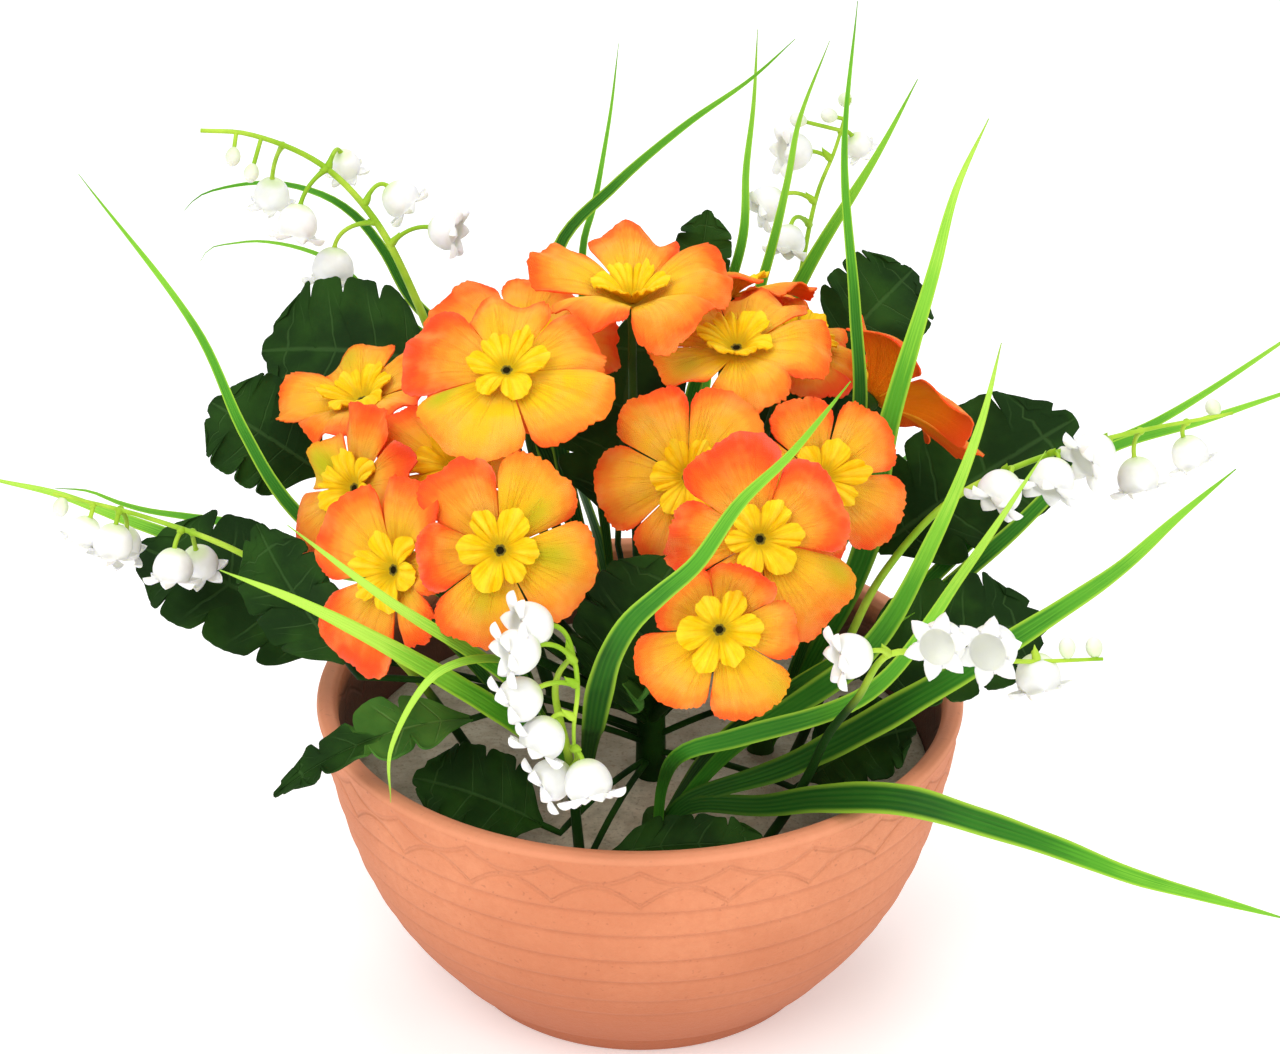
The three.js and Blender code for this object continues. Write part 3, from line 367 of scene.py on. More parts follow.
# Node trees.
class Wire:
    """One socket of a node tree. Sums on wires add the maths nodes that work them out."""

    def __init__(self, bench, socket):
        self.bench = bench
        self.socket = socket

    def maths(self, operation, *others):
        return self.bench.number(operation, self, *others)

    def __add__(self, other):
        return self.maths("ADD", other)

    __radd__ = __add__

    def __sub__(self, other):
        return self.maths("SUBTRACT", other)

    def __rsub__(self, other):
        return self.bench.number("SUBTRACT", other, self)

    def __mul__(self, other):
        return self.maths("MULTIPLY", other)

    __rmul__ = __mul__

    def __truediv__(self, other):
        return self.maths("DIVIDE", other)

    def __pow__(self, other):
        return self.maths("POWER", other)

    def sine(self):
        return self.maths("SINE")

    def cosine(self):
        return self.maths("COSINE")

    def size(self):
        return self.maths("ABSOLUTE")

    def least(self, other):
        return self.maths("MINIMUM", other)

    def most(self, other):
        return self.maths("MAXIMUM", other)

    def ramp(self, low, high):
        """Smoothly from 0 at low to 1 at high, where either may be the larger."""
        if low > high:
            return 1 - self.ramp(high, low)
        return self.bench.node("ShaderNodeMapRange", {"interpolation_type": "SMOOTHSTEP"},
                               {0: self, 1: low, 2: high})

    def other(self, name):
        """Another output of the same node."""
        return Wire(self.bench, self.socket.node.outputs[name])


class Bench:
    """Adds nodes to one tree."""

    def __init__(self, tree):
        self.tree = tree

    def node(self, kind, settings=None, sockets=None, output=0):
        """Makes every node, from its type, its settings and what its sockets take."""
        made = self.tree.nodes.new(kind)
        for key, value in (settings or {}).items():
            setattr(made, key, value)
        for key, value in (sockets or {}).items():
            self.plug(value, made.inputs[key])
        return Wire(self, made.outputs[output]) if made.outputs else None

    def plug(self, value, socket):
        if isinstance(value, Wire):
            self.tree.links.new(value.socket, socket)
        else:
            socket.default_value = value

    def number(self, operation, *values):
        return self.node("ShaderNodeMath", {"operation": operation}, dict(enumerate(values)))

    def mixed(self, share, a, b):
        """Colour a where share is 0 and b where it is 1."""
        return self.node("ShaderNodeMix", {"data_type": "RGBA"}, {0: share, 6: a, 7: b}, 2)

    def shades(self, value, stops):
        """Colours along a value from 0 to 1."""
        made = self.node("ShaderNodeValToRGB", {}, {0: value})
        ramp = made.socket.node.color_ramp
        ramp.interpolation = "EASE"
        for k, (place, colour) in enumerate(stops):
            stop = ramp.elements[k] if k < 2 else ramp.elements.new(place)
            stop.position = place
            stop.color = colour
        return made

    def parted(self, vector):
        """The three numbers of a vector."""
        made = self.node("ShaderNodeSeparateXYZ", {}, {0: vector})
        return made, made.other("Y"), made.other("Z")

    def joined(self, x, y, z):
        """One vector from three numbers."""
        return self.node("ShaderNodeCombineXYZ", {}, {0: x, 1: y, 2: z})


class Paint(Bench):
    """The nodes of one material."""

    def mark(self, name):
        """A value that the piece's mesh carries."""
        return self.node("ShaderNodeAttribute", {"attribute_name": name}, {}, "Fac")

    def place(self):
        """Places on the piece, in metres."""
        return self.node("ShaderNodeTexCoord", {}, {}, "Object")

    def chart(self):
        """Places on the flat pattern of a sheet."""
        return self.node("ShaderNodeUVMap", {"uv_map": "chart"})

    def noise(self, where, scale, detail=2.0, rough=0.5):
        return self.node("ShaderNodeTexNoise", {},
                         {"Vector": where, "Scale": scale, "Detail": detail, "Roughness": rough})


def rgb(red, green, blue):
    """A colour as it looks on a screen, from 0 to 255, as linear light."""
    def linear(value):
        share = value / 255
        return share / 12.92 if share <= 0.04045 else ((share + 0.055) / 1.055) ** 2.4
    return (linear(red), linear(green), linear(blue), 1.0)


def material(name, finish, **settings):
    """A material: finish works out the colour, the roughness and the height of the surface."""
    made = bpy.data.materials.new(name)
    made.use_nodes = True
    tree = made.node_tree
    tree.nodes.clear()
    paint = Paint(tree)
    colour, roughness, height, depth = finish(paint)
    sockets = {"Base Color": colour, "Roughness": roughness}
    if height is not None:
        sockets["Normal"] = paint.node("ShaderNodeBump", {}, {"Height": height, "Distance": depth})
    sockets |= {key.replace("_", " "): value for key, value in settings.items()}
    shader = paint.node("ShaderNodeBsdfPrincipled", {}, sockets)
    paint.node("ShaderNodeOutputMaterial", {}, {"Surface": shader})
    return made


def band_lines(angle, repeats):
    """The heights of the two wavy lines of the bowl's band, at an angle round the bowl."""
    swing = (angle * repeats * 0.5).sine().size()
    return BAND_TOP - TOP_SWING * swing, BAND_FOOT + FOOT_SWING * swing


def terracotta(paint):
    where = paint.place()
    across, ahead, height = paint.parted(where)
    upper, lower = band_lines(ahead.maths("ARCTAN2", across), BAND_REPEATS)
    groove = (height - upper).size().least((height - lower).size()).ramp(0.0011, 0.0001)
    # Painted shade: a thin dark line just under each ring edge, where the step above shades the side.
    under = 0.0
    for edge in RING_EDGES:
        past = height - edge * MM
        under = past.ramp(-0.0018, -0.0004) * past.ramp(0.0006, 0.0) + under
    broad = paint.noise(where, 28, 3)
    fine = paint.noise(where, 420, 3, 0.6)
    grain = paint.noise(where, 1500, 2, 0.6)
    specks = paint.noise(where, 620, 1).ramp(0.68, 0.76)
    lip = height.ramp(0.0852, 0.0862)
    body = paint.mixed(broad.ramp(0.35, 0.65), rgb(212, 130, 88), rgb(224, 142, 99))
    body = paint.mixed(fine.ramp(0.3, 0.75) * 0.35, body, rgb(208, 121, 80))
    body = paint.mixed(specks * 0.4, body, rgb(170, 92, 60))
    # Painted shade: the bowl is painted darker towards its foot.
    body = paint.mixed(height.ramp(0.075, 0.004) * 0.95, body, rgb(180, 103, 65))
    # The painted shade under the ring edges.
    body = paint.mixed(under * 0.16, body, rgb(150, 84, 56))
    # Painted shade: the grooves of the band are painted darker, as the shade in them.
    body = paint.mixed(groove * 0.14, body, rgb(180, 104, 72))
    # Painted highlight: the lip is painted lighter, where light catches it.
    body = paint.mixed(lip * 0.45, body, rgb(240, 160, 120))
    # Painted shade: the inside wall below the lip is painted dark, as the shade of the foliage in it.
    body = paint.mixed(paint.mark("inside") * 0.9, body, rgb(54, 29, 16))
    stipple = grain * 0.6 + fine * 0.8 - groove
    return body, 0.66 + 0.14 * fine, stipple * (1 - 0.6 * lip), 0.00035


def fill_stone(paint):
    """Grey-beige, with painted shade: darker away from the open place in front of the trunk, as the
    shadow of the foliage on it.
    """
    where = paint.place()
    lumps = paint.noise(where, 120, 5, 0.6)
    grit = paint.noise(where, 900, 2)
    colour = paint.mixed(lumps.ramp(0.35, 0.65), rgb(184, 176, 150), rgb(218, 210, 184))
    colour = paint.mixed(grit.ramp(0.55, 0.7) * 0.5, colour, rgb(140, 132, 108))
    across, ahead, _ = paint.parted(where)
    away = ((across - 0.004) ** 2 + (ahead + 0.045).size() ** 2) ** 0.5
    away = away + (paint.noise(where, 60, 2) - 0.5) * 0.02
    # Painted shadow of the foliage, darker away from the open place.
    colour = paint.mixed(away.ramp(0.022, 0.046) * 0.5, colour, rgb(70, 68, 50))
    return colour, 0.95, lumps * 1.5 + grit * 0.5, 0.001


def petal_cloth(paint):
    chart = paint.chart()
    across, outward, _ = paint.parted(chart)
    reach = paint.mark("reach")
    red = paint.mark("red")
    green = paint.mark("green")
    underside = paint.mark("underside")
    sector = paint.mark("sector")
    soft = paint.noise(paint.place(), 50, 2)
    cloud = paint.noise(paint.place(), 120, 2)
    streak_place = paint.joined(sector * 7, reach * 1.4, 0.0)
    streaks = paint.noise(streak_place, 2.0, 2)
    pleat_place = paint.joined(sector * 15, reach * 0.8, 3.0)
    pleats = paint.noise(pleat_place, 1.0, 1).ramp(0.5, 0.68) * reach.ramp(1.0, 0.55)
    depth = reach ** 1.5 * 1.06 + red + (soft - 0.5) * 0.5 + (streaks - 0.5) * 0.2 - 0.1
    colour = paint.shades(depth / 1.4, [
        (0.0, rgb(255, 204, 28)), (1.0, rgb(255, 106, 80)), (0.2, rgb(255, 194, 46)),
        (0.36, rgb(255, 176, 56)), (0.5, rgb(255, 146, 46)), (0.64, rgb(255, 108, 38)),
        (0.8, rgb(254, 86, 40)),
    ])
    colour = paint.mixed(cloud.ramp(0.45, 0.7) * 0.3, colour, rgb(255, 194, 100))
    # Painted shade in the creases of the pleats.
    colour = paint.mixed(pleats * 0.2, colour, rgb(236, 122, 34))
    patch = (green * (0.7 + 0.6 * soft)).least(1.0)
    colour = paint.mixed(patch, colour, rgb(190, 188, 30))
    # The undersides are a deeper orange, partly their own dye and partly painted light for the light
    # that shines through the petals.
    underside_dye_and_painted_light = paint.mixed(reach.ramp(0.45, 1.0), rgb(255, 122, 4), rgb(255, 84, 20))
    colour = paint.mixed(underside * 0.9, colour, underside_dye_and_painted_light)
    weave = (across * 15).sine() * 0.5 + (outward * 15).sine() * 0.5
    threads = paint.noise(chart, 3.2, 2)
    height = weave * 0.25 + threads * 0.7 - pleats * 0.9
    return colour, 0.74, height, 0.00022


def cup_cloth(paint):
    reach = paint.mark("reach")
    ruffle = paint.mark("ruffle")
    ribs = paint.noise(paint.joined(paint.mark("cosine") * 7, paint.mark("sine") * 7, reach), 1.6, 3)
    cloud = paint.noise(paint.place(), 260, 2)
    colour = paint.mixed(cloud.ramp(0.35, 0.65), rgb(248, 202, 14), rgb(252, 214, 38))
    colour = paint.mixed(ribs.ramp(0.45, 0.65) * 0.35, colour, rgb(236, 168, 12))
    # Painted shade in the folds between the lobes and scallops.
    colour = paint.mixed(ruffle.ramp(0.5, 0.1) * 0.6, colour, rgb(206, 148, 14))
    # Painted highlight on the crests of the lobes.
    colour = paint.mixed(ruffle.ramp(0.6, 0.95) * 0.25, colour, rgb(255, 226, 84))
    # Painted shade down the cup's throat.
    colour = paint.mixed(reach.ramp(0.5, 0.14) * 0.6, colour, rgb(188, 158, 22))
    colour = paint.mixed(reach.ramp(0.12, 0.07), colour, rgb(122, 112, 44))
    # Painted shade: the middle is painted near black, as the shade of a hole.
    colour = paint.mixed(reach.ramp(0.045, 0.02), colour, rgb(40, 34, 12))
    colour = paint.mixed(paint.mark("underside") * 0.5, colour, rgb(226, 156, 14))
    return colour, 0.72, ribs * 1.4 + ruffle, 0.0003


def leaf_cloth(paint):
    share, side, _ = paint.parted(paint.chart())
    out = ((side - 0.5) * 2).size()
    light = paint.mark("light")
    blotch = paint.noise(paint.place(), 70, 3)
    grain = paint.noise(paint.place(), 900, 2)
    wander = (paint.noise(paint.place(), 160, 2) - 0.5) * 0.12
    row = (share - 0.005) / LOBE_LENGTH + wander
    side_vein = (row - row.maths("ROUND")).size().ramp(0.042, 0.01) * out.ramp(0.95, 0.5)
    fork = row + 0.5 - out * 0.45
    small_vein = (fork - fork.maths("ROUND")).size().ramp(0.03, 0.008)
    small_vein = small_vein * out.ramp(0.9, 0.6) * out.ramp(0.3, 0.5) * 0.5
    vein = out.ramp(0.06, 0.015).most(side_vein).most(small_vein)
    dark = paint.mixed(blotch.ramp(0.35, 0.7), rgb(19, 48, 7), rgb(36, 72, 15))
    dark = paint.mixed(vein * 0.22, dark, rgb(84, 122, 64))
    pale = paint.mixed(blotch.ramp(0.35, 0.7), rgb(56, 104, 34), rgb(84, 134, 50))
    pale = paint.mixed(vein * 0.3, pale, rgb(130, 170, 92))
    colour = paint.mixed(light, dark, pale)
    height = grain * 0.3 - vein * 0.7 + blotch * 1.2
    return colour, 0.66 + 0.1 * grain, height, 0.0003


def grass_plastic(paint):
    share = paint.mark("share")
    across = paint.mark("across")
    tone = paint.mark("tone")
    out = across.size()
    blotch = paint.noise(paint.place(), 60, 2)
    streak_place = paint.joined(across * 5, share * 4, tone * 20)
    streaks = paint.noise(streak_place, 1.6, 2)
    depth = share.ramp(0.32, 0.98) * 0.6 + tone * 0.47
    depth = depth + (blotch - 0.5) * 0.2 + (streaks - 0.5) * 0.28
    colour = paint.shades(depth, [
        (0.0, rgb(9, 42, 6)), (1.0, rgb(186, 232, 84)), (0.2, rgb(22, 78, 14)),
        (0.42, rgb(46, 118, 24)), (0.62, rgb(84, 162, 36)), (0.82, rgb(134, 204, 56)),
    ])
    edge = out.ramp(0.62, 0.95) * (share.ramp(0.1, 0.5) * 0.7 + 0.08)
    colour = paint.mixed(edge, colour, rgb(172, 216, 62))
    ribs = (across * 17).cosine() * 0.5 + 0.5
    colour = paint.mixed(ribs * 0.05, colour, rgb(150, 212, 74))
    return colour, 0.5 + 0.12 * blotch, ribs * 0.4 + streaks * 0.5, 0.00012


def lime_plastic(paint):
    where = paint.place()
    blotch = paint.noise(where, 90, 2)
    colour = paint.mixed(blotch.ramp(0.35, 0.65), rgb(140, 186, 34), rgb(182, 216, 66))
    # Painted shade on the stems near their feet.
    colour = paint.mixed(paint.mark("painted_stem_shade"), colour, rgb(20, 56, 10))
    return colour, 0.42 + 0.1 * blotch, paint.noise(where, 700, 2), 0.0001


def bell_plastic(paint):
    inside = paint.mark("inside")
    drop = paint.mark("drop")
    blotch = paint.noise(paint.place(), 220, 2)
    colour = paint.mixed(blotch.ramp(0.35, 0.65), rgb(240, 240, 236), rgb(250, 250, 248))
    colour = paint.mixed(drop.ramp(0.24, 0.02) * 0.6, colour, rgb(206, 226, 146))
    # Painted light: the inside is painted whiter than the outside, for the light that passes through
    # the thin walls.
    colour = paint.mixed(inside * drop.ramp(1.0, 0.5), colour, rgb(254, 255, 246))
    return colour, 0.36 + 0.12 * blotch, blotch + paint.noise(paint.place(), 900, 2) * 0.4, 0.00012


def stalk_plastic(paint):
    where = paint.place()
    blotch = paint.noise(where, 90, 2)
    _, _, height = paint.parted(where)
    colour = paint.mixed(blotch.ramp(0.35, 0.65), rgb(14, 42, 8), rgb(30, 68, 14))
    colour = paint.mixed(height.ramp(0.13, 0.19) * 0.25, colour, rgb(84, 124, 30))
    return colour, 0.5 + 0.1 * blotch, paint.noise(where, 800, 2), 0.0002


TERRACOTTA = material("terracotta", terracotta)
FILL_STONE = material("hard fill", fill_stone)
PETAL_CLOTH = material("petal cloth", petal_cloth, Specular_IOR_Level=0.08,
                       Subsurface_Weight=0.6, Subsurface_Radius=(0.003, 0.0014, 0.0005))
CUP_CLOTH = material("cup cloth", cup_cloth, Specular_IOR_Level=0.08,
                     Subsurface_Weight=0.5, Subsurface_Radius=(0.003, 0.002, 0.0003))
LEAF_CLOTH = material("leaf cloth", leaf_cloth, Specular_IOR_Level=0.14)
GRASS_PLASTIC = material("grass plastic", grass_plastic, Specular_IOR_Level=0.16)
LIME_PLASTIC = material("lime plastic", lime_plastic, Specular_IOR_Level=0.2)
BELL_PLASTIC = material("bell plastic", bell_plastic, Subsurface_Weight=0.5,
                        Subsurface_Radius=(0.006, 0.006, 0.004))
STALK_PLASTIC = material("stalk plastic", stalk_plastic, Specular_IOR_Level=0.1)


# Meshes.
def new_object(name, mesh):
    made = bpy.data.objects.new(name, mesh)
    bpy.context.scene.collection.objects.link(made)
    return made


def set_marks(mesh, marks):
    """Stores values on the points of a mesh, for its finish or its tree to read."""
    for name, values in marks.items():
        values = np.asarray(values, np.float32)
        kind, field = ("FLOAT_VECTOR", "vector") if values.ndim == 2 else ("FLOAT", "value")
        mark = mesh.attributes.new(name, kind, "POINT")
        mark.data.foreach_set(field, values.ravel())


def smooth_faces(mesh, sharpest):
    """Shades a mesh smooth, but for edges that turn by more than an angle in degrees."""
    mesh.shade_smooth()
    mesh.set_sharp_from_angle(angle=math.radians(sharpest))


def outward(mesh):
    """Turns the faces of a closed mesh round if they point inwards."""
    mesh.calc_loop_triangles()
    places = np.zeros(len(mesh.vertices) * 3)
    mesh.vertices.foreach_get("co", places)
    places = places.reshape(-1, 3)
    corners = np.zeros(len(mesh.loop_triangles) * 3, np.int32)
    mesh.loop_triangles.foreach_get("vertices", corners)
    a, b, c = places[corners.reshape(-1, 3)].transpose(1, 0, 2)
    if np.sum(a * np.cross(b, c)) < 0:
        mesh.flip_normals()


class Sheets:
    """Thin sheets made from grids of places, gathered into one mesh."""

    def __init__(self):
        self.points = []
        self.faces = []
        self.chart = []
        self.marks = {}
        self.count = 0

    def add(self, grid, thickness, chart, marks, closed=False):
        """One sheet: a grid of places (rows, columns, xyz), with marks of the same shape.
        A closed grid joins its last column to its first, and its first row to a point."""
        rows, columns = grid.shape[:2]
        places = grid.reshape(-1, 3)
        chart = chart.reshape(-1, 2)
        marks = {name: np.broadcast_to(values, (rows, columns)).ravel()
                 for name, values in marks.items()}
        index = np.arange(rows * columns).reshape(rows, columns)
        if closed:
            index = np.concatenate([index, index[:, :1]], axis=1)
        quads = np.stack([index[:-1, :-1], index[1:, :-1], index[1:, 1:], index[:-1, 1:]], axis=2)
        quads = quads.reshape(-1, 4)
        faces = quads.tolist()
        if closed:
            places = np.concatenate([places, places[:columns].mean(axis=0)[None]])
            chart = np.concatenate([chart, chart[:columns].mean(axis=0)[None]])
            marks = {name: np.append(values, values[:columns].mean())
                     for name, values in marks.items()}
            middle = rows * columns
            faces += [[middle, a, b] for a, b in zip(index[0, :-1], index[0, 1:])]
            rim = index[-1]
        else:
            rim = [*index[0, :-1], *index[:-1, -1], *index[-1, :0:-1], *index[:0:-1, 0], 0]
        normals = np.zeros_like(places)
        a, b, c, d = (places[quads[:, k]] for k in range(4))
        facing = np.cross(c - a, d - b)
        for k in range(4):
            np.add.at(normals, quads[:, k], facing)
        if closed:
            normals[-1] = normals[:columns].sum(axis=0)
        normals /= np.maximum(np.linalg.norm(normals, axis=1), 1e-9)[:, None]
        total = len(places)
        upper = places + normals * thickness / 2
        lower = places - normals * thickness / 2
        start = self.count
        self.points += [upper, lower]
        self.chart += [chart, chart]
        self.faces += [[start + i for i in face] for face in faces]
        self.faces += [[start + total + i for i in reversed(face)] for face in faces]
        # The faces round the rim. On a closed sheet they split along their other diagonals.
        for i, k in zip(rim, rim[1:]):
            wall = [start + k, start + i, start + i + total, start + k + total]
            self.faces.append(wall[1:] + wall[:1] if closed else wall)
        for name, values in marks.items():
            self.marks.setdefault(name, []).extend([values, values])
        self.marks.setdefault("underside", []).extend([np.zeros(total), np.ones(total)])
        self.count += 2 * total

    def piece(self, name, surface):
        mesh = bpy.data.meshes.new(name)
        points = np.concatenate(self.points) * MM
        mesh.from_pydata(points.tolist(), [], self.faces)
        set_marks(mesh, {key: np.concatenate(values) for key, values in self.marks.items()})
        layer = mesh.uv_layers.new(name="chart")
        corners = np.zeros(len(mesh.loops), np.int32)
        mesh.loops.foreach_get("vertex_index", corners)
        layer.data.foreach_set("uv", np.concatenate(self.chart)[corners].astype(np.float32).ravel())
        smooth_faces(mesh, 50)
        mesh.materials.append(surface)
        return new_object(name, mesh)


def put(piece, node):
    """The piece stands for a node: it joins the root body, and the node's own part is hidden."""
    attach(piece, "root")
    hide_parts(node)


# The trees that grow pieces along paths and round an axis.
class Grower(Bench):
    """The nodes of one shape-making tree, with named inputs for its sizes."""

    def __init__(self, name, inputs):
        super().__init__(bpy.data.node_groups.new(name, "GeometryNodeTree"))
        face = self.tree.interface
        face.new_socket("Geometry", in_out="INPUT", socket_type="NodeSocketGeometry")
        for label, kind, value in inputs:
            socket = face.new_socket(label, in_out="INPUT", socket_type="NodeSocket" + kind)
            if value is not None:
                socket.default_value = value
        face.new_socket("Geometry", in_out="OUTPUT", socket_type="NodeSocketGeometry")
        self.entry = self.node("NodeGroupInput")

    def given(self, label):
        """An input of the tree."""
        return self.entry.other(label)

    def named(self, name, kind="FLOAT"):
        """A mark on the points that come in."""
        return self.node("GeometryNodeInputNamedAttribute", {"data_type": kind}, {"Name": name})

    def kept(self, geometry, name, value):
        """The geometry with a new mark."""
        return self.node("GeometryNodeStoreNamedAttribute", {},
                         {"Geometry": geometry, "Name": name, "Value": value})

    def close(self, geometry):
        """Ends the tree with real meshes in the piece's material."""
        real = self.node("GeometryNodeRealizeInstances", {}, {0: geometry})
        last = self.node("GeometryNodeSetMaterial", {},
                         {"Geometry": real, "Material": self.given("Material")})
        self.node("NodeGroupOutput", {}, {0: last})


def grown(name, mesh, tree, values):
    """The mesh, grown through a tree and turned into a plain mesh."""
    made = new_object(name, mesh)
    modifier = made.modifiers.new("grown", "NODES")
    modifier.node_group = tree
    for socket in tree.interface.items_tree:
        if socket.item_type == "SOCKET" and socket.in_out == "INPUT" and socket.name in values:
            modifier[socket.identifier] = values[socket.name]
    bpy.context.view_layer.update()
    ready = made.evaluated_get(bpy.context.evaluated_depsgraph_get())
    plain = bpy.data.meshes.new_from_object(ready)
    made.modifiers.clear()
    made.data = plain
    return made


def lines_mesh(name, lines):
    """Routes (in millimetres) as lines of edges, each with the marks on its points."""
    mesh = bpy.data.meshes.new(name)
    edges = []
    start = 0
    marks = {key: [] for key in lines[0][1]}
    for route, own_marks in lines:
        edges += [(start + i, start + i + 1) for i in range(len(route) - 1)]
        start += len(route)
        for key, values in own_marks.items():
            marks[key].append(np.broadcast_to(values, (len(route), *np.shape(values)[1:])))
    mesh.from_pydata((np.concatenate([route for route, _ in lines]) * MM).tolist(), edges, [])
    set_marks(mesh, {key: np.concatenate(values) for key, values in marks.items()})
    return mesh


def line_of(profile):
    """A profile of radii and heights as a route beside the axis."""
    return np.array([(r, 0, z) for r, z in profile])


def stem_tree():
    grower = Grower("round stem", [("Sides", "Int", 12), ("Material", "Material", None)])
    line = grower.node("GeometryNodeMeshToCurve", {}, {0: grower.given("Geometry")})
    ring = grower.node("GeometryNodeCurvePrimitiveCircle", {},
                       {"Resolution": grower.given("Sides"), "Radius": 1.0})
    stem = grower.node("GeometryNodeCurveToMesh", {},
                       {"Curve": line, "Profile Curve": ring, "Fill Caps": True,
                        "Scale": grower.named("radius")})
    grower.close(stem)
    return grower.tree


def blade_tree():
    grower = Grower("grass blade", [
        ("Thickness share", "Float", 0.09), ("Fold", "Float", 0.12), ("Ribs", "Float", 0.012),
        ("Material", "Material", None),
    ])
    line = grower.node("GeometryNodeMeshToCurve", {}, {0: grower.given("Geometry")})
    line = grower.node("GeometryNodeSetCurveNormal", {"mode": "FREE"},
                       {"Curve": line, "Normal": grower.named("facing", "FLOAT_VECTOR")})
    ring = grower.node("GeometryNodeCurvePrimitiveCircle", {}, {"Resolution": 36, "Radius": 1.0})
    depth, width, _ = grower.parted(grower.node("GeometryNodeInputPosition"))
    rim = 1 - 0.55 * width.size()
    ripple = (width * 15).cosine() * grower.given("Ribs")
    lifted = depth * rim * grower.given("Thickness share")
    lifted = lifted + ripple * rim + width.size() * grower.given("Fold")
    ring = grower.node("GeometryNodeSetPosition", {},
                       {"Geometry": ring, "Position": grower.joined(lifted, width, 0.0)})
    ring = grower.kept(ring, "across", width)
    blade = grower.node("GeometryNodeCurveToMesh", {},
                        {"Curve": line, "Profile Curve": ring, "Fill Caps": True,
                         "Scale": grower.named("half_width")})
    grower.close(blade)
    return grower.tree


def turned_start(grower):
    """A grid to wrap round the axis: its mesh, the angle, radius and height of its points, and
    what reads a mark. The profile comes in as a line of points, x the radius and z the height.
    """
    profile = grower.given("Geometry")
    count = grower.node("GeometryNodeAttributeDomainSize", {}, {0: profile})
    grid = grower.node("GeometryNodeMeshGrid", {},
                       {"Size X": 1.0, "Size Y": 1.0, "Vertices X": grower.given("Columns"),
                        "Vertices Y": count})
    around, along, _ = grower.parted(grid.other("UV Map"))
    row = (along * (count - 1)).maths("ROUND")

    def sampled(field, kind="FLOAT"):
        return grower.node("GeometryNodeSampleIndex", {"data_type": kind},
                           {"Geometry": profile, "Value": field, "Index": row})

    def mark(name):
        return sampled(grower.named(name))

    point = sampled(grower.node("GeometryNodeInputPosition"), "FLOAT_VECTOR")
    radius, _, height = grower.parted(point)
    return grid, around * (2 * math.pi), radius, height, mark


def turned_end(grower, grid, angle, radius, height):
    """Puts the grid's points in place, closes its seam and ends the tree."""
    place = grower.joined(radius * angle.cosine(), radius * angle.sine(), height)
    body = grower.node("GeometryNodeSetPosition", {}, {"Geometry": grid, "Position": place})
    body = grower.node("GeometryNodeMergeByDistance", {}, {"Geometry": body, "Distance": 2e-6})
    grower.close(body)


def bowl_tree():
    grower = Grower("turned bowl", [
        ("Columns", "Int", 481), ("Repeats", "Float", BAND_REPEATS), ("Groove depth", "Float", 0.0),
        ("Groove half width", "Float", GROOVE_HALF_WIDTH), ("Material", "Material", None),
    ])
    grid, angle, radius, height, mark = turned_start(grower)

    def groove(middle):
        away = (height - middle) / grower.given("Groove half width")
        return (1 - away * away).most(0.0)

    upper, lower = band_lines(angle, grower.given("Repeats"))
    relief = groove(upper).most(groove(lower)) * grower.given("Groove depth")
    radius = radius - relief * mark("relief")
    grid = grower.kept(grid, "inside", mark("inside"))
    turned_end(grower, grid, angle, radius, height)
    return grower.tree


def bell_tree():
    grower = Grower("bell", [
        ("Columns", "Int", 49), ("Lobes", "Float", 6.0), ("Sharpness", "Float", 0.85),
        ("Material", "Material", None),
    ])
    grid, angle, radius, height, mark = turned_start(grower)
    sector = angle * grower.given("Lobes") / (2 * math.pi)
    lobe = (1 - 2 * sector.maths("PINGPONG", 0.5)) ** grower.given("Sharpness")
    share = 1 - mark("flare") * (1 - lobe)
    radius = mark("waist_radius") * (1 - share) + radius * share
    height = mark("waist_height") * (1 - share) + height * share
    for name in ("inside", "drop"):
        grid = grower.kept(grid, name, mark(name))
    turned_end(grower, grid, angle, radius, height)
    return grower.tree


def hang_tree():
    grower = Grower("hung bells", [("Bell", "Object", None), ("Material", "Material", None)])
    bell = grower.node("GeometryNodeObjectInfo", {}, {0: grower.given("Bell")}, "Geometry")
    turn = grower.node("FunctionNodeAlignRotationToVector", {"axis": "Z"},
                       {"Vector": grower.named("mouth", "FLOAT_VECTOR")})
    size = grower.named("size")
    hung = grower.node("GeometryNodeInstanceOnPoints", {},
                       {"Points": grower.given("Geometry"), "Instance": bell,
                        "Rotation": turn, "Scale": grower.joined(size, size, size)})
    grower.close(hung)
    return grower.tree


STEM_TREE = stem_tree()
BLADE_TREE = blade_tree()
BOWL_TREE = bowl_tree()
BELL_TREE = bell_tree()
HANG_TREE = hang_tree()


# The bowl: a smooth profile from the middle of the foot, up the outside and down the inside.
def eased(corners, steps):
    """Points along a corner line, with its corners rounded by a short curve."""
    route = []
    for before, corner, after in zip(corners, corners[1:], corners[2:]):
        start = vec(corner) + (vec(before) - vec(corner)) * 0.35
        end = vec(corner) + (vec(after) - vec(corner)) * 0.35
        route.extend(bezier([start, corner, end], steps))
    return [tuple(p) for p in (vec(corners[0]), *route, vec(corners[-1]))]


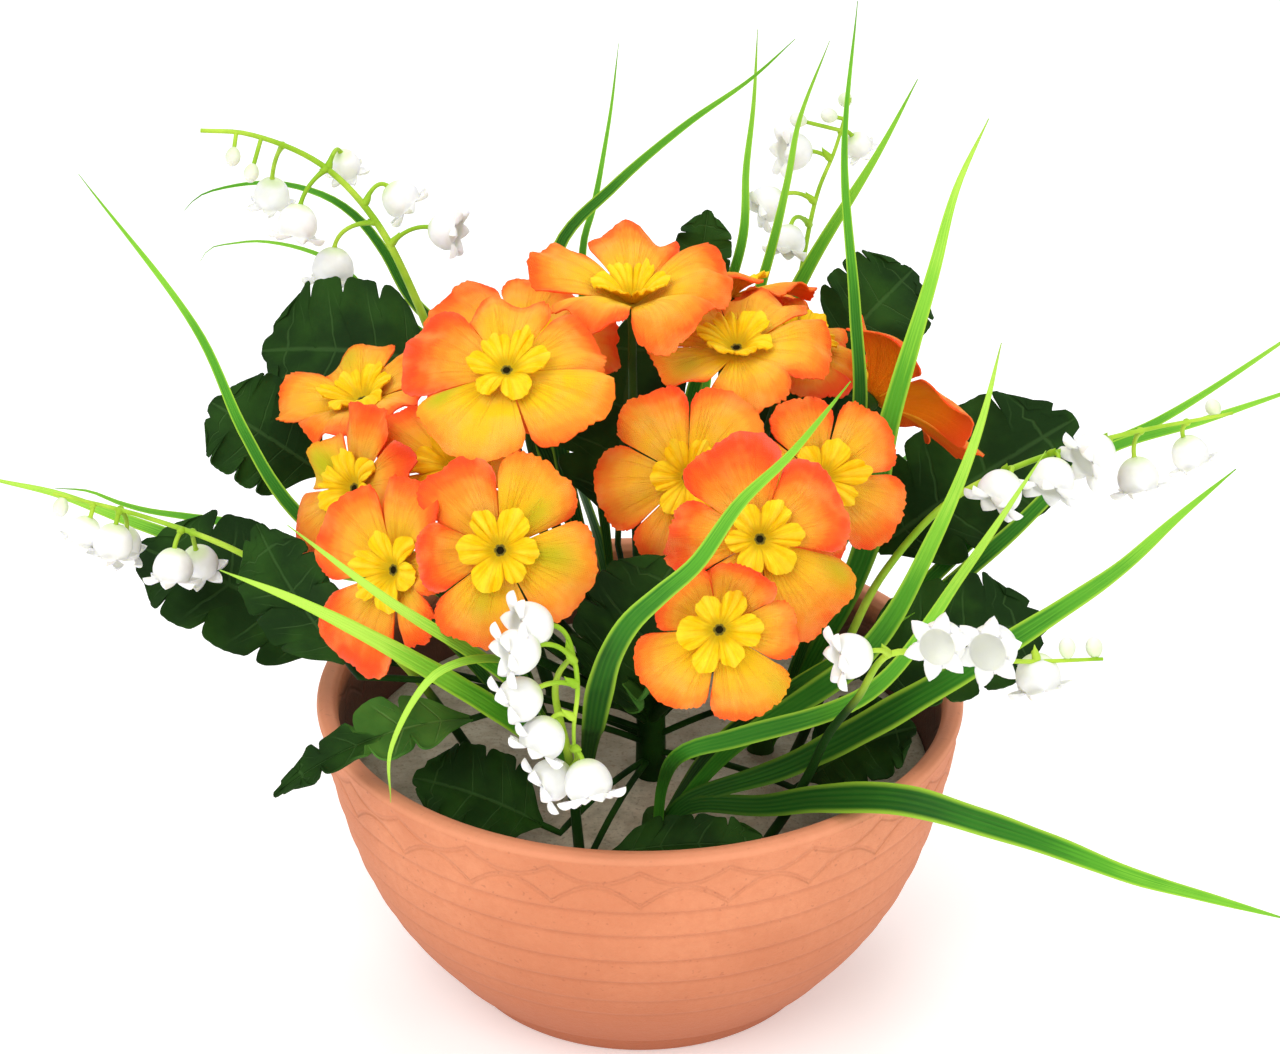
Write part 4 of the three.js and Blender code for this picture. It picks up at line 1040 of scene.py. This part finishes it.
def bowl_profile():
    outside = [(AXIS, 0), (20, 0), (40, 0), (FOOT_RADIUS - 2, 0), (FOOT_RADIUS - 0.5, 0.15),
               (FOOT_RADIUS, 0.6), (FOOT_RADIUS + 2.2, 4.4), (FOOT_RADIUS + 3.9, 7.7),
               (FOOT_RADIUS + 4.6, 8.4), (58.2, 8.8), (59.5, 9.2)]
    outside += [(side_radius(z), z) for z in np.arange(10, 25, 1.5)]
    edges = sorted(RING_EDGES)
    for edge, above in zip(edges, [*edges[1:], BOWL_HEIGHT - LIP_ROUND]):
        depth = RING_STEP * (0.5 if edge < 35 else 1)
        outside += [(side_radius(edge + lift) - depth * inset, edge + lift)
                    for lift, inset in ((-1.0, 0.9), (-0.5, 1.15), (-0.1, 1.05), (0.25, 0.55),
                                        (0.6, 0.15), (1.1, 0))]
        top = edge == edges[-1]
        for z in np.arange(edge + 2.0, above - 1.6, 0.9 if top else 1.2):
            slope = 0 if top else (z - edge) / (above - edge)
            outside.append((side_radius(z) - RING_STEP * slope**1.5, z))
    lip_inside = RIM_RADIUS - 6
    lip = eased([(side_radius(BOWL_HEIGHT - 3.2), BOWL_HEIGHT - 3.4), (RIM_RADIUS - 0.2, 85.6),
                 (RIM_RADIUS - 0.7, 87.2), (RIM_RADIUS - 2.4, BOWL_HEIGHT),
                 (lip_inside + 1.2, 87.5), (lip_inside, 85.6), (lip_inside - 0.2, 82)], 5)
    inside = [(side_radius(z) - WALL - RING_LEDGE, z)
              for z in (80, 74, 68, 64, 56, 48, 40, 30, 22, 14)]
    inside += [(FLOOR_RADIUS, FLOOR_THICKNESS), (26, FLOOR_THICKNESS), (AXIS, FLOOR_THICKNESS)]
    return [*outside, *lip, *inside], len(outside)


def make_bowl():
    profile, outside = bowl_profile()
    route = line_of(profile)
    outer = np.arange(len(route)) < outside
    relief = np.where(outer, smooth_step(69.8, 70.6, route[:, 2]), 0)
    # The inside mark: where the inside wall gets its painted shade.
    inside = np.where(outer, 0, smooth_step(85, 78, route[:, 2]) * (route[:, 0] < RIM_RADIUS - 4))
    mesh = lines_mesh("bowl_line", [(route, {"relief": relief, "inside": inside})])
    bowl = grown("terracotta_bowl", mesh, BOWL_TREE,
                 {"Groove depth": GROOVE_DEPTH, "Material": TERRACOTTA})
    outward(bowl.data)
    smooth_faces(bowl.data, 70)
    put(bowl, "bowl")


def make_fill():
    """The fill, with a crowned and slightly lumpy top."""
    wall = [(side_radius(z) - WALL - RING_LEDGE - 0.25, z) for z in (14, 30, 48, FILL_TOP - 1)]
    rim = wall[-1][0]
    floor = FLOOR_THICKNESS + GAP
    profile = [(AXIS, floor), (30, floor), (FLOOR_RADIUS - GAP, floor), *wall]
    profile += [(rim - 0.4, FILL_TOP - 0.3), (rim - 1.4, FILL_TOP + 0.1)]
    profile += [(r, FILL_TOP + FILL_CROWN * (1 - r / rim)) for r in np.linspace(rim - 4, AXIS, 26)]
    mesh = lines_mesh("fill_line", [(line_of(profile), {"relief": 0, "inside": 0})])
    fill = grown("hard_fill", mesh, BOWL_TREE, {"Columns": 145, "Material": FILL_STONE})
    rng = np.random.default_rng(11)
    waves = [(4 * rng.uniform(20, 90), wave_start(rng), wave_start(rng)) for _ in range(8)]
    for point in fill.data.vertices:
        x, y, z = point.co
        if z > LUMPS_ABOVE and math.hypot(x, y) < LUMPS_WITHIN:
            lump = sum(math.sin(x * pitch + a) * math.sin(y * pitch + b) for pitch, a, b in waves)
            point.co.z = z + LUMP_HEIGHT * lump
    outward(fill.data)
    smooth_faces(fill.data, 40)
    put(fill, "fill")


# Blooms.
def bloom_axes(facing):
    turn = math.radians(facing[0])
    rise = math.radians(facing[1])
    ahead = vec((math.sin(turn) * math.cos(rise), -math.cos(turn) * math.cos(rise), math.sin(rise)))
    right = vec((math.cos(turn), math.sin(turn), 0))
    return right, np.cross(ahead, right), ahead


def in_bloom(at, facing, x, y, height):
    """Places on a bloom, from how far they are across, up and forward of its middle."""
    right, up, ahead = bloom_axes(facing)
    return vec(at) + x[..., None] * right + y[..., None] * up + height[..., None] * ahead


PETAL_COLUMNS = 57
PETAL_ROWS = np.array([0, 0.09, 0.2, 0.32, 0.44, 0.56, 0.67, 0.77, 0.86, 0.94, 1])
PETAL_START = 0.8


def petal_edge(rng, u):
    """How far out a petal's edge is, from one side (u = -1) to the other, as a share of its
    reach: a broad round end, leaning a little, uneven, and dented near the middle."""
    edge = 0.72 + 0.28 * (1 - np.abs(u) ** 3.4) ** 0.55
    edge = edge + rng.uniform(-0.06, 0.06) * u * (1 - u * u)
    edge = edge + rng.uniform(0.008, 0.022) * np.sin(rng.uniform(4, 7) * u + wave_start(rng))
    return edge - rng.uniform(0, 0.035) * np.exp(-(((u - rng.uniform(-0.3, 0.3)) / 0.16) ** 2))


def petal_rise(rng, n, u, t, cup):
    """How far a petal rises out of its bloom's face, as a share of the bloom's radius."""
    cupped = 1.1 * cup * (1 - 0.35 * u * u) * (1 - (1 - t) ** 2.8)
    waved = 0.055 * np.sin(4.6 * (u + 1) + 1.7 * n) * t**2
    ruffled = np.sin(rng.uniform(4, 8) * u + wave_start(rng)) * rng.uniform(0.045, 0.085) * t**3
    tilted = rng.uniform(-0.1, 0.1) * u * t
    rolled = rng.uniform(-0.27, 0.08) * (1 + rng.uniform(-0.8, 0.8) * u)
    return cupped + waved + ruffled + tilted + rolled * smooth_step(0.62, 1.1, t)


def make_petals(order, name, at, facing, radius, cup, petals):
    """The ring of petals. On each, u goes from -1 to 1 across it and v from 0 to 1 outward."""
    rng = np.random.default_rng(100 + order)
    reds, patches = DYES[name]
    angles = [petal[0] for petal in petals]
    spaces = np.diff([*angles, angles[0] + 360])
    ring = Sheets()
    u = np.sin(np.linspace(-1, 1, PETAL_COLUMNS) * math.pi / 2)[None, :]
    v = PETAL_ROWS[:, None]
    for n, (angle, share, *folds) in enumerate(petals):
        half = np.minimum(np.where(u < 0, spaces[n - 1], spaces[n]) / 2, PETAL_HALF_ANGLE)
        reach = radius * share
        edge = petal_edge(rng, u)
        fray = rng.uniform(-0.3, 0.24, PETAL_COLUMNS) + rng.uniform(-0.8, 0.6, PETAL_COLUMNS) ** 3
        out = PETAL_START + (edge * reach - PETAL_START) * v + np.where(v == 1, fray[None, :], 0)
        spread = 1 - 0.03 * smooth_step(HUB_RADIUS - 0.2, 0.35 * radius, out)
        aside = np.radians(u * half * spread)
        t = np.clip((out / reach - 0.13) / 0.87, 0, 1)
        folded = FOLD_SHARE * smooth_step(0.35, 1.05, t) * sum(folds)
        raised = radius * (petal_rise(rng, n, u, t, cup) + folded)
        out = out * (1 - folded)
        turn = aside + math.radians(angle)
        grid = in_bloom(at, facing, out * np.cos(turn), out * np.sin(turn), raised)
        chart = np.stack([out * np.sin(aside), out * np.cos(aside)], axis=2)
        green = np.zeros_like(out)
        for which, place_u, place_v, size, strength in patches:
            if which == n:
                away = ((u - place_u) ** 2 + ((v - place_v) * 1.4) ** 2) / size**2
                green = np.maximum(green, strength * np.exp(-away))
        red = reds[n] + 0.1 * np.abs(u) ** 4 * v + rng.uniform(-0.16, 0.16) * u * v
        ring.add(grid, PETAL_THICKNESS, chart,
                 {"reach": v, "red": red, "green": green, "sector": n * 2.5 + u})
    put(ring.piece(f"petals_{name}", PETAL_CLOTH), f"bloom_{name}_petals")


CUP_COLUMNS = 144
CUP_ROWS = 15
CUP_LOBES = 6


def make_cup(order, name, at, facing, radius, cup):
    """The yellow cup: six uneven lobes with scalloped and crimped rims, tipped in and out."""
    rng = np.random.default_rng(300 + order)
    rise = CENTRE_RISE + 0.35 * cup * radius
    angle = np.linspace(0, 2 * math.pi, CUP_COLUMNS, endpoint=False)[None, :]
    s = np.linspace(0, 1, CUP_ROWS)[:, None]
    bent = angle + rng.uniform(0.08, 0.16) * np.sin(2 * angle + wave_start(rng))
    lobe = np.abs(np.cos(CUP_LOBES / 2 * bent)) ** 0.42
    number = np.round(bent / (2 * math.pi) * CUP_LOBES).astype(int) % CUP_LOBES
    grow = rng.uniform(-0.16, 0.04, CUP_LOBES)[number]
    tilt = rng.uniform(-3.2, 2.0, CUP_LOBES)[number] * lobe
    uneven = 0.65 + 0.35 * np.sin(5 * bent + wave_start(rng))
    scallop = np.cos(18 * bent + 0.9 * np.sin(2 * bent + wave_start(rng))) * uneven
    crimp = np.cos(36 * bent + wave_start(rng)) * uneven
    edge = CENTRE_RADIUS * (0.5 + (0.51 + grow) * lobe) + 0.36 * scallop * lobe
    edge = edge + rng.uniform(-0.14, 0.14, CUP_COLUMNS)[None, :]
    out = 0.7 + (edge - 0.7) * s
    t = np.clip((out - 2.2) / (CENTRE_RADIUS - 2.2), 0, 1)
    height = CENTRE_LIFT + 0.5 * smooth_step(0.8, HUB_RADIUS, out)
    height = height + (rise - 0.3) * (1 - (1 - t) ** 1.7) * (0.86 + 0.14 * lobe)
    height = height + t**1.3 * (0.95 * scallop * lobe + 0.34 * crimp)
    height = height + t**2.4 * tilt - 0.6 * t**3
    across, upward = out * np.cos(angle), out * np.sin(angle)
    past_eye = smooth_step(0.1, 0.5, s)
    # The ruffle mark also carries the cup's painted shade in its folds and painted highlight on its
    # crests.
    ruffle = np.clip(0.5 * lobe + 0.25 * (scallop + 1) * lobe, 0, 1) * past_eye
    marks = {"reach": s, "ruffle": ruffle + 0.55 * (1 - past_eye),
             "cosine": np.cos(angle), "sine": np.sin(angle)}
    sheet = Sheets()
    sheet.add(in_bloom(at, facing, across, upward, height), CUP_THICKNESS,
              np.stack([across, upward], axis=2), marks, closed=True)
    put(sheet.piece(f"cup_{name}", CUP_CLOTH), f"bloom_{name}_centre")


# Leaves.
LEAF_OUTLINE = [(0, 0.1), (0.06, 0.26), (0.12, 0.48), (0.19, 0.76), (0.26, 0.93), (0.36, 1.0),
                (0.5, 1.02), (0.64, 1.0), (0.78, 0.95), (0.88, 0.86), (0.94, 0.76), (1, 0.6)]
LEAF_ROWS = 104
LEAF_COLUMNS = 21

# The leaves with a curled edge: the side it is on, how far in it starts, and its bend's radius.
CURLS = {"centre": (-1, 5.5, 2.4), "over_rim": (1, 2.5, 1.6), "left_middle": (1, 2.5, 2.2)}


def leaf_axes(base, tip, face):
    along = unit(vec(tip) - vec(base))
    across = unit(np.cross(vec(face), along))
    return along, across, np.cross(along, across)


def leaf_width(rng, name, s, q, shift, half_width):
    """Half a leaf's width along its length, with the notches and the fringe of its edges."""
    uneven = 0.02 * np.sin(9 * s + wave_start(rng)) * np.sign(q)
    lobe = np.abs(np.sin(math.pi * (s - FIRST_NOTCH - shift + uneven) / LOBE_LENGTH))
    deep = 3.2 if name == "over_rim" else rng.uniform(0.8, 1.3)
    notch = (0.06 * (1 - lobe) ** 2 + 0.42 * (1 - lobe) ** 9) * smooth_step(0.2, 0.3, s)
    fringe = 0.004 * np.cos(2 * math.pi * s / 0.045 + wave_start(rng))
    width = half_width * smooth_curve(*zip(*LEAF_OUTLINE), s)
    width = width * (1 - np.minimum(deep * notch, 0.6) + fringe * smooth_step(0.1, 0.3, s))
    if name == "over_rim":
        width = width * (1 - 0.42 * smooth_step(0.42, 0.62, s))
    return width


def leaf_height(rng, s, q, side, rib, arch):
    """How high a leaf lies over the line from its base to its tip: folded, waved and arched."""
    wave = -np.cos(2 * math.pi * (s - 0.24) / LOBE_LENGTH) * smooth_step(0.02, 0.2, s)
    height = LEAF_FOLD * np.abs(side) + 0.6 * LEAF_WAVE * wave * np.abs(q) ** 1.8
    height = height + 0.5 * np.sin(7 * s + 2.2 * q + wave_start(rng)) * np.abs(q)
    height = height + 4 * arch * rib * (1 - rib)
    return height - 0.3 * np.exp(-((q / 0.06) ** 2))


def make_leaf(order, name, base, tip, face, half_width, arch):
    """A leaf, from s = 0 at its base to 1 at its tip and q = -1 to 1 across it."""
    rng = np.random.default_rng(500 + order)
    along, across, up = leaf_axes(base, tip, face)
    length = np.linalg.norm(vec(tip) - vec(base))
    s = np.linspace(0, 1, LEAF_ROWS)[:, None]
    q = np.sin(np.linspace(-1, 1, LEAF_COLUMNS) * math.pi / 2)[None, :]
    shift = np.where(q < 0, rng.uniform(-0.02, 0.02), rng.uniform(-0.02, 0.02))
    width = leaf_width(rng, name, s, q, shift, half_width)
    side = q * width
    near_tip = smooth_step(0.7, 1, s)
    blunt = 0.13 * np.abs(q) ** 2.4
    for middle in (-0.5, 0.45):
        blunt = blunt + 0.05 * np.clip(1 - np.abs(q - middle - 0.1 * shift) / 0.2, 0, 1) ** 1.6
    rib = s - 0.12 * np.sin(math.pi * s) * (1 - np.abs(q)) - near_tip * blunt
    height = leaf_height(rng, s, q, side, rib, arch)
    light = np.zeros_like(side)
    if name in CURLS:
        hand, depth, bend = CURLS[name]
        past = np.clip(side * hand - (width - depth * np.sin(math.pi * s)), 0, None)
        turn = past / bend
        side = side - hand * (past - bend * np.sin(turn))
        height = height + bend * (1 - np.cos(turn))
        if name == "centre":
            light = smooth_step(0.5, 1.2, turn)
    if name == "over_rim":
        light = smooth_step(0.62, 0.5, s) * np.ones_like(q)
    grid = (vec(base) + (rib * length)[..., None] * along + side[..., None] * across
            + height[..., None] * up)
    chart = np.stack([s + 0 * q, (q + 1) / 2 + 0 * s], axis=2)
    leaf = Sheets()
    leaf.add(grid, LEAF_THICKNESS, chart, {"light": light})
    put(leaf.piece(f"blade_leaf_{name}", LEAF_CLOTH), f"leaf_{name}")


# Stems of the bush.
def stalk_route(at, facing):
    """A bloom's stalk from the trunk to its green cup, and its radii."""
    _, _, ahead = bloom_axes(facing)
    hub = vec(at)
    neck = hub - 8 * ahead
    root = vec((*TRUNK_FOOT, TRUNK_TOP - 8))
    root = root + with_length(vec((at[0] - TRUNK_FOOT[0], at[1] - TRUNK_FOOT[1], 0)), 2.4)
    reach = np.linalg.norm(neck - root)
    control = neck + with_length(-ahead + vec((0, 0, -0.9)), 0.42 * reach)
    start = root * 0.65 + control * 0.35 + vec((0, 0, 0.06 * reach))
    route = bezier([root, start, control, neck], 24)
    cup = [hub - d * ahead for d in (6.5, 5.2, 4.2, 3.4, 2.6, 1.8, 1.1, 0.5)]
    radii = np.concatenate([np.linspace(1.6, STALK_RADIUS, 25),
                            [1.15, 1.3, 1.75, 2.3, 2.6, 2.65, 2.55, 2.4]])
    return np.concatenate([route, cup]), radii


def petiole_route(base, tip, face, height):
    """A leaf's stalk from the trunk to just inside the leaf, and its radii."""
    along, _, up = leaf_axes(base, tip, face)
    end = vec(base) + along * 0.6
    entry = end - 6 * along - up
    root = vec((*TRUNK_FOOT, height))
    middle = (root + entry) / 2 + vec((0, 0, 0.09 * np.linalg.norm(entry - root)))
    route = np.concatenate([bezier([root, middle, entry], 20), [end - 3 * along - 0.4 * up, end]])
    return route, np.full(len(route), PETIOLE_RADIUS)


def upright(foot, heights):
    return vec([(*foot, height) for height in heights])


def make_bush_stems():
    trunk = upright(TRUNK_FOOT, [HOLE_FLOOR, 60, 66, 72, 80, 86, TRUNK_TOP])
    routes = [(trunk, np.linspace(TRUNK_RADIUS, 0.85 * TRUNK_RADIUS, 7))]
    routes += [stalk_route(at, facing) for _, at, facing, *_ in BLOOMS]
    routes += [petiole_route(base, tip, face, height) for _, base, tip, face, _, _, height in LEAVES]
    mesh = lines_mesh("stem_lines", [(route, {"radius": radii * MM}) for route, radii in routes])
    stems = grown("bush_stalks", mesh, STEM_TREE, {"Sides": 14, "Material": STALK_PLASTIC})
    smooth_faces(stems.data, 60)
    put(stems, "bush_stems")


# Grass. Each clump's blades have their own tone, from 0 (dark green) to 1 (pale lime).
BLADE_POINTS = 60
TONES = {
    "front": (0.9, 0.5, 0.42, 0.9, 0.2),
    "left": (1.2, 1.1, 1.1, 0.46, 0.5, 0.8, 0.35),
    "back": (0.06, 0.5, 0.24, 0.36, 0.6, 0.6, 0.5, 0.4, 0.4),
    "right": (0.3, 0.8, 0.6, 0.6, 0.3),
}


def make_clump(order, name, foot, radius, blades):
    """A clump: its blades, and the round plug they grow from."""
    rng = np.random.default_rng(700 + order)
    lines = []
    for (points, width, face), tone in zip(blades, TONES[name]):
        lean = vec((points[0][0] - foot[0], points[0][1] - foot[1], 0))
        root = vec((*foot, FILL_TOP + 3)) + with_length(lean, 0.5 * radius)
        route = smooth_route([root, *points], BLADE_POINTS)
        share = np.linspace(0, 1, len(route))
        swell = np.where(share < 0.4, 0.5 + 0.5 * smooth_step(0, 0.4, share),
                         np.clip((1 - share) / 0.6, 0, 1) ** 0.75)
        half = np.maximum(swell, 0.04) * width / 2
        half = half * (1 + 0.02 * np.sin(share * rng.uniform(30, 60) + rng.uniform(0, 6)))
        tangent = directions(route)
        across = np.cross(vec(face), tangent)
        across /= np.linalg.norm(across, axis=1)[:, None]
        lines.append((route, {"half_width": half * MM, "facing": np.cross(tangent, across),
                              "share": share, "tone": tone}))
    clump = grown(f"clump_{name}", lines_mesh("blade_lines", lines), BLADE_TREE,
                  {"Material": GRASS_PLASTIC})
    route = upright(foot, [HOLE_FLOOR, 58, 64, 68, 70.5, FILL_TOP + 8])
    radii = np.array([1, 1, 0.95, 0.85, 0.78, 0.6]) * radius * MM
    plug = grown("plug", lines_mesh("plug_line", [(route, {"radius": radii, "share": 0, "tone": 0})]),
                 STEM_TREE, {"Sides": 20, "Material": GRASS_PLASTIC})
    whole = merged([clump, plug])
    smooth_faces(whole.data, 55)
    put(whole, f"grass_{name}")


def merged(pieces):
    """The pieces as one object, the first one."""
    bpy.ops.object.select_all(action="DESELECT")
    for piece in pieces:
        piece.select_set(True)
    bpy.context.view_layer.objects.active = pieces[0]
    bpy.ops.object.join()
    return pieces[0]


# Sprays.
BELL_LINE = [(AXIS, 0), (1.2, 0.12), (2.5, 0.6), (3.7, 1.5), (4.7, 2.8), (5.35, 4.4), (5.6, 6.0),
             (5.4, 7.3), (4.9, 8.3), (4.65, 8.8), (4.95, 9.4), (5.6, 9.9), (6.4, 10.1),
             (7.2, 9.9), (7.75, 9.3), (7.95, 8.5)]
BELL_WAIST = 9
BELL_WALL = 0.5

# The sprays that differ: how much stouter a stem is over the fill, and how high its painted shade
# goes.
STOUTER = {"left_high": 1.35}
SHADE_TOPS = {"right_low": 140}
SHADE_TOP = 112
SHADE_FADE = 18


def bell_profile():
    """The bell's outside from its crown to the tip of a lobe, then back up its inside, with
    what each point carries: whether it is inside, whether it is past the waist, and the waist."""
    line = smooth_route(line_of(BELL_LINE), 30)[:, [0, 2]]
    tangent = directions(line)
    inner = line + BELL_WALL * np.stack([-tangent[:, 1], tangent[:, 0]], axis=1)
    inner = inner[inner[:, 0] > 0.2][::-1]
    count = len(inner)
    whole = np.concatenate([line, inner, [[AXIS, inner[-1, 1]]]])
    inside = np.concatenate([np.zeros(len(line)), np.ones(count + 1)])
    waist = vec(BELL_LINE[BELL_WAIST])
    past = np.zeros(len(whole))
    outer_waist = np.argmin(np.linalg.norm(line - waist, axis=1))
    inner_waist = len(line) + np.argmin(np.linalg.norm(inner - waist, axis=1))
    past[outer_waist:inner_waist + 1] = 1
    waists = np.where(inside[:, None] > 0, waist - (BELL_WALL * 0.9, 0), waist)
    return whole, inside, past, waists


def make_bell():
    whole, inside, past, waists = bell_profile()
    marks = {"inside": inside, "flare": past, "waist_radius": waists[:, 0] * MM,
             "waist_height": waists[:, 1] * MM, "drop": whole[:, 1] / BELL_LENGTH}
    mesh = lines_mesh("bell_line", [(line_of(whole), marks)])
    bell = grown("bell", mesh, BELL_TREE, {"Material": BELL_PLASTIC})
    outward(bell.data)
    return bell


def make_bud():
    line = [(AXIS, -2.6), (0.7, -2.5), (1.5, -1.7), (2.05, -0.4), (2.1, 0.6), (1.7, 1.7),
            (1.0, 2.5), (AXIS, 2.9)]
    route = smooth_route(line_of(line), 12)
    marks = {"inside": 0, "flare": 0, "waist_radius": 0, "waist_height": 0,
             "drop": route[:, 2] / 40 + 0.1}
    bud = grown("bud", lines_mesh("bud_line", [(route, marks)]), BELL_TREE,
                {"Columns": 25, "Material": BELL_PLASTIC})
    outward(bud.data)
    return bud


def nearest(route, point):
    """The place on a route that is nearest to a point."""
    best = None
    for a, b in zip(route, route[1:]):
        length = np.dot(b - a, b - a)
        share = np.clip(np.dot(point - a, b - a) / max(length, 1e-9), 0, 1)
        place = a + share * (b - a)
        if best is None or np.linalg.norm(place - point) < np.linalg.norm(best - point):
            best = place
    return best


def hung(name, source, places, mouths, sizes):
    """Copies of a bell or bud at its places, each turned the way its mouth faces."""
    mesh = bpy.data.meshes.new(name + "_points")
    mesh.from_pydata((np.array(places) * MM).tolist(), [], [])
    set_marks(mesh, {"mouth": np.array(mouths, float), "size": np.array(sizes, float)})
    return grown(name, mesh, HANG_TREE, {"Bell": source, "Material": BELL_PLASTIC})


def bell_stalk(stem, crown, mouth, size):
    """The stalk that a bell hangs from, and the small leaf where it leaves the stem."""
    mouth = unit(vec(mouth))
    crown = vec(crown)
    root = nearest(stem, crown)
    droop = crown - mouth * 0.45 * np.linalg.norm(crown - root)
    stalk = bezier([root, droop, crown, crown + mouth * 0.3 * size], 12)
    stalk_radii = np.interp(np.linspace(0, 1, 13), [0, 0.2, 0.8, 1], [0.95, 0.62, 0.62, 0.9])
    aside = with_length(crown - root, 3.2) + vec((0, 0, 1.6))
    bract = bezier([root, root + aside * 0.7, root + aside + vec((0, 0, 1))], 5)
    return [(stalk, stalk_radii), (bract, np.array([1.0, 1.15, 1.0, 0.7, 0.35, 0.06]))]


def make_spray(name, foot, points, bells, buds, bell, bud):
    """A spray: its stem and stalks, with painted shade near the foot, and its bells and buds."""
    stem = smooth_route([(*foot, FILL_TOP + 4), *points], 70)
    stem = np.concatenate([[(*foot, HOLE_FLOOR)], stem])
    stout = np.where(stem[:, 2] > 70, STOUTER.get(name, 1), 1)
    routes = [(stem, np.linspace(STEM_RADIUS, 0.45, len(stem)) * stout)]
    for hanging in bells:
        routes += bell_stalk(stem, *hanging)
    for at in buds:
        routes.append((bezier([nearest(stem, vec(at)), at], 6), np.full(7, PEDICEL_RADIUS)))
    # Painted shade on the stem and stalks below the shade top.
    shade_top = SHADE_TOPS.get(name, SHADE_TOP)
    lines = [(route, {"radius": radii * MM,
                      "painted_stem_shade": smooth_step(shade_top, shade_top - SHADE_FADE, route[:, 2])})
             for route, radii in routes]
    stems = grown(f"lily_spray_{name}", lines_mesh("spray_lines", lines), STEM_TREE,
                  {"Sides": 12, "Material": LIME_PLASTIC})
    parts = [stems, hung("bells", bell, *zip(*bells))]
    if buds:
        aways = [vec(at) - nearest(stem, vec(at)) for at in buds]
        parts.append(hung("buds", bud, buds, aways, [1] * len(buds)))
    whole = merged(parts)
    smooth_faces(whole.data, 60)
    put(whole, f"spray_{name}")


# Light, floor and camera, in metres. The back light shines on the floor behind the plant.
LIT_MIDDLE = (0, 0, 0.13)
CAMERA_PLACE = (0, -0.71407, 0.49670)
CAMERA_AIM = (0, 0, 0.136)


def point_at(holder, place, target):
    holder.location = place
    holder.rotation_euler = (Vector(target) - Vector(place)).to_track_quat("-Z", "Y").to_euler()


def area_light(name, place, target, size, power):
    lamp = bpy.data.lights.new(name, "AREA")
    lamp.shape = "DISK"
    lamp.size = size
    lamp.energy = power
    holder = new_object(name, lamp)
    point_at(holder, place, target)


def make_studio():
    floor_mesh = bpy.data.meshes.new("floor")
    floor_mesh.from_pydata([(-4, -4, 0), (4, -4, 0), (4, 6, 0), (-4, 6, 0)], [], [(0, 1, 2, 3)])
    floor = new_object("floor", floor_mesh)
    floor_mesh.materials.append(material("floor", lambda paint: (rgb(250, 250, 250), 0.9, None, 0),
                                         Emission_Color=(1, 1, 1, 1), Emission_Strength=0.27))
    world = bpy.data.worlds.new("studio")
    bpy.context.scene.world = world
    world.use_nodes = True
    sky = world.node_tree.nodes["Background"].inputs
    sky["Color"].default_value = (1, 1, 1, 1)
    sky["Strength"].default_value = 0.5
    area_light("key", (-0.55, -0.9, 1.25), LIT_MIDDLE, 1.2, 12.5)
    area_light("side", (1.0, -0.6, 0.8), LIT_MIDDLE, 0.9, 3.5)
    area_light("top", (0.1, 0.3, 1.5), LIT_MIDDLE, 0.9, 5)
    area_light("front", (0.25, -1.4, 0.45), LIT_MIDDLE, 0.9, 1.6)
    area_light("back", (0, 2.4, 1.8), (0, 1.7, 0), 1.6, 16)
    camera_data = bpy.data.cameras.new("camera")
    camera_data.sensor_width = 36
    camera_data.lens = 83.0
    camera_data.clip_start = 0.01
    camera = new_object("camera", camera_data)
    point_at(camera, CAMERA_PLACE, CAMERA_AIM)
    bpy.context.scene.camera = camera
    bpy.context.scene.view_settings.view_transform = "Standard"


make_bowl()
make_fill()
make_bush_stems()
for order, bloom in enumerate(BLOOMS):
    make_petals(order, *bloom)
    make_cup(order, *bloom[:-1])
for order, leaf in enumerate(LEAVES):
    make_leaf(order, *leaf[:-1])
for order, clump in enumerate(CLUMPS):
    make_clump(order, *clump)
bell = make_bell()
bud = make_bud()
for spray in SPRAYS:
    make_spray(*spray, bell, bud)
for pattern in (bell, bud):
    bpy.data.objects.remove(pattern)
make_studio()
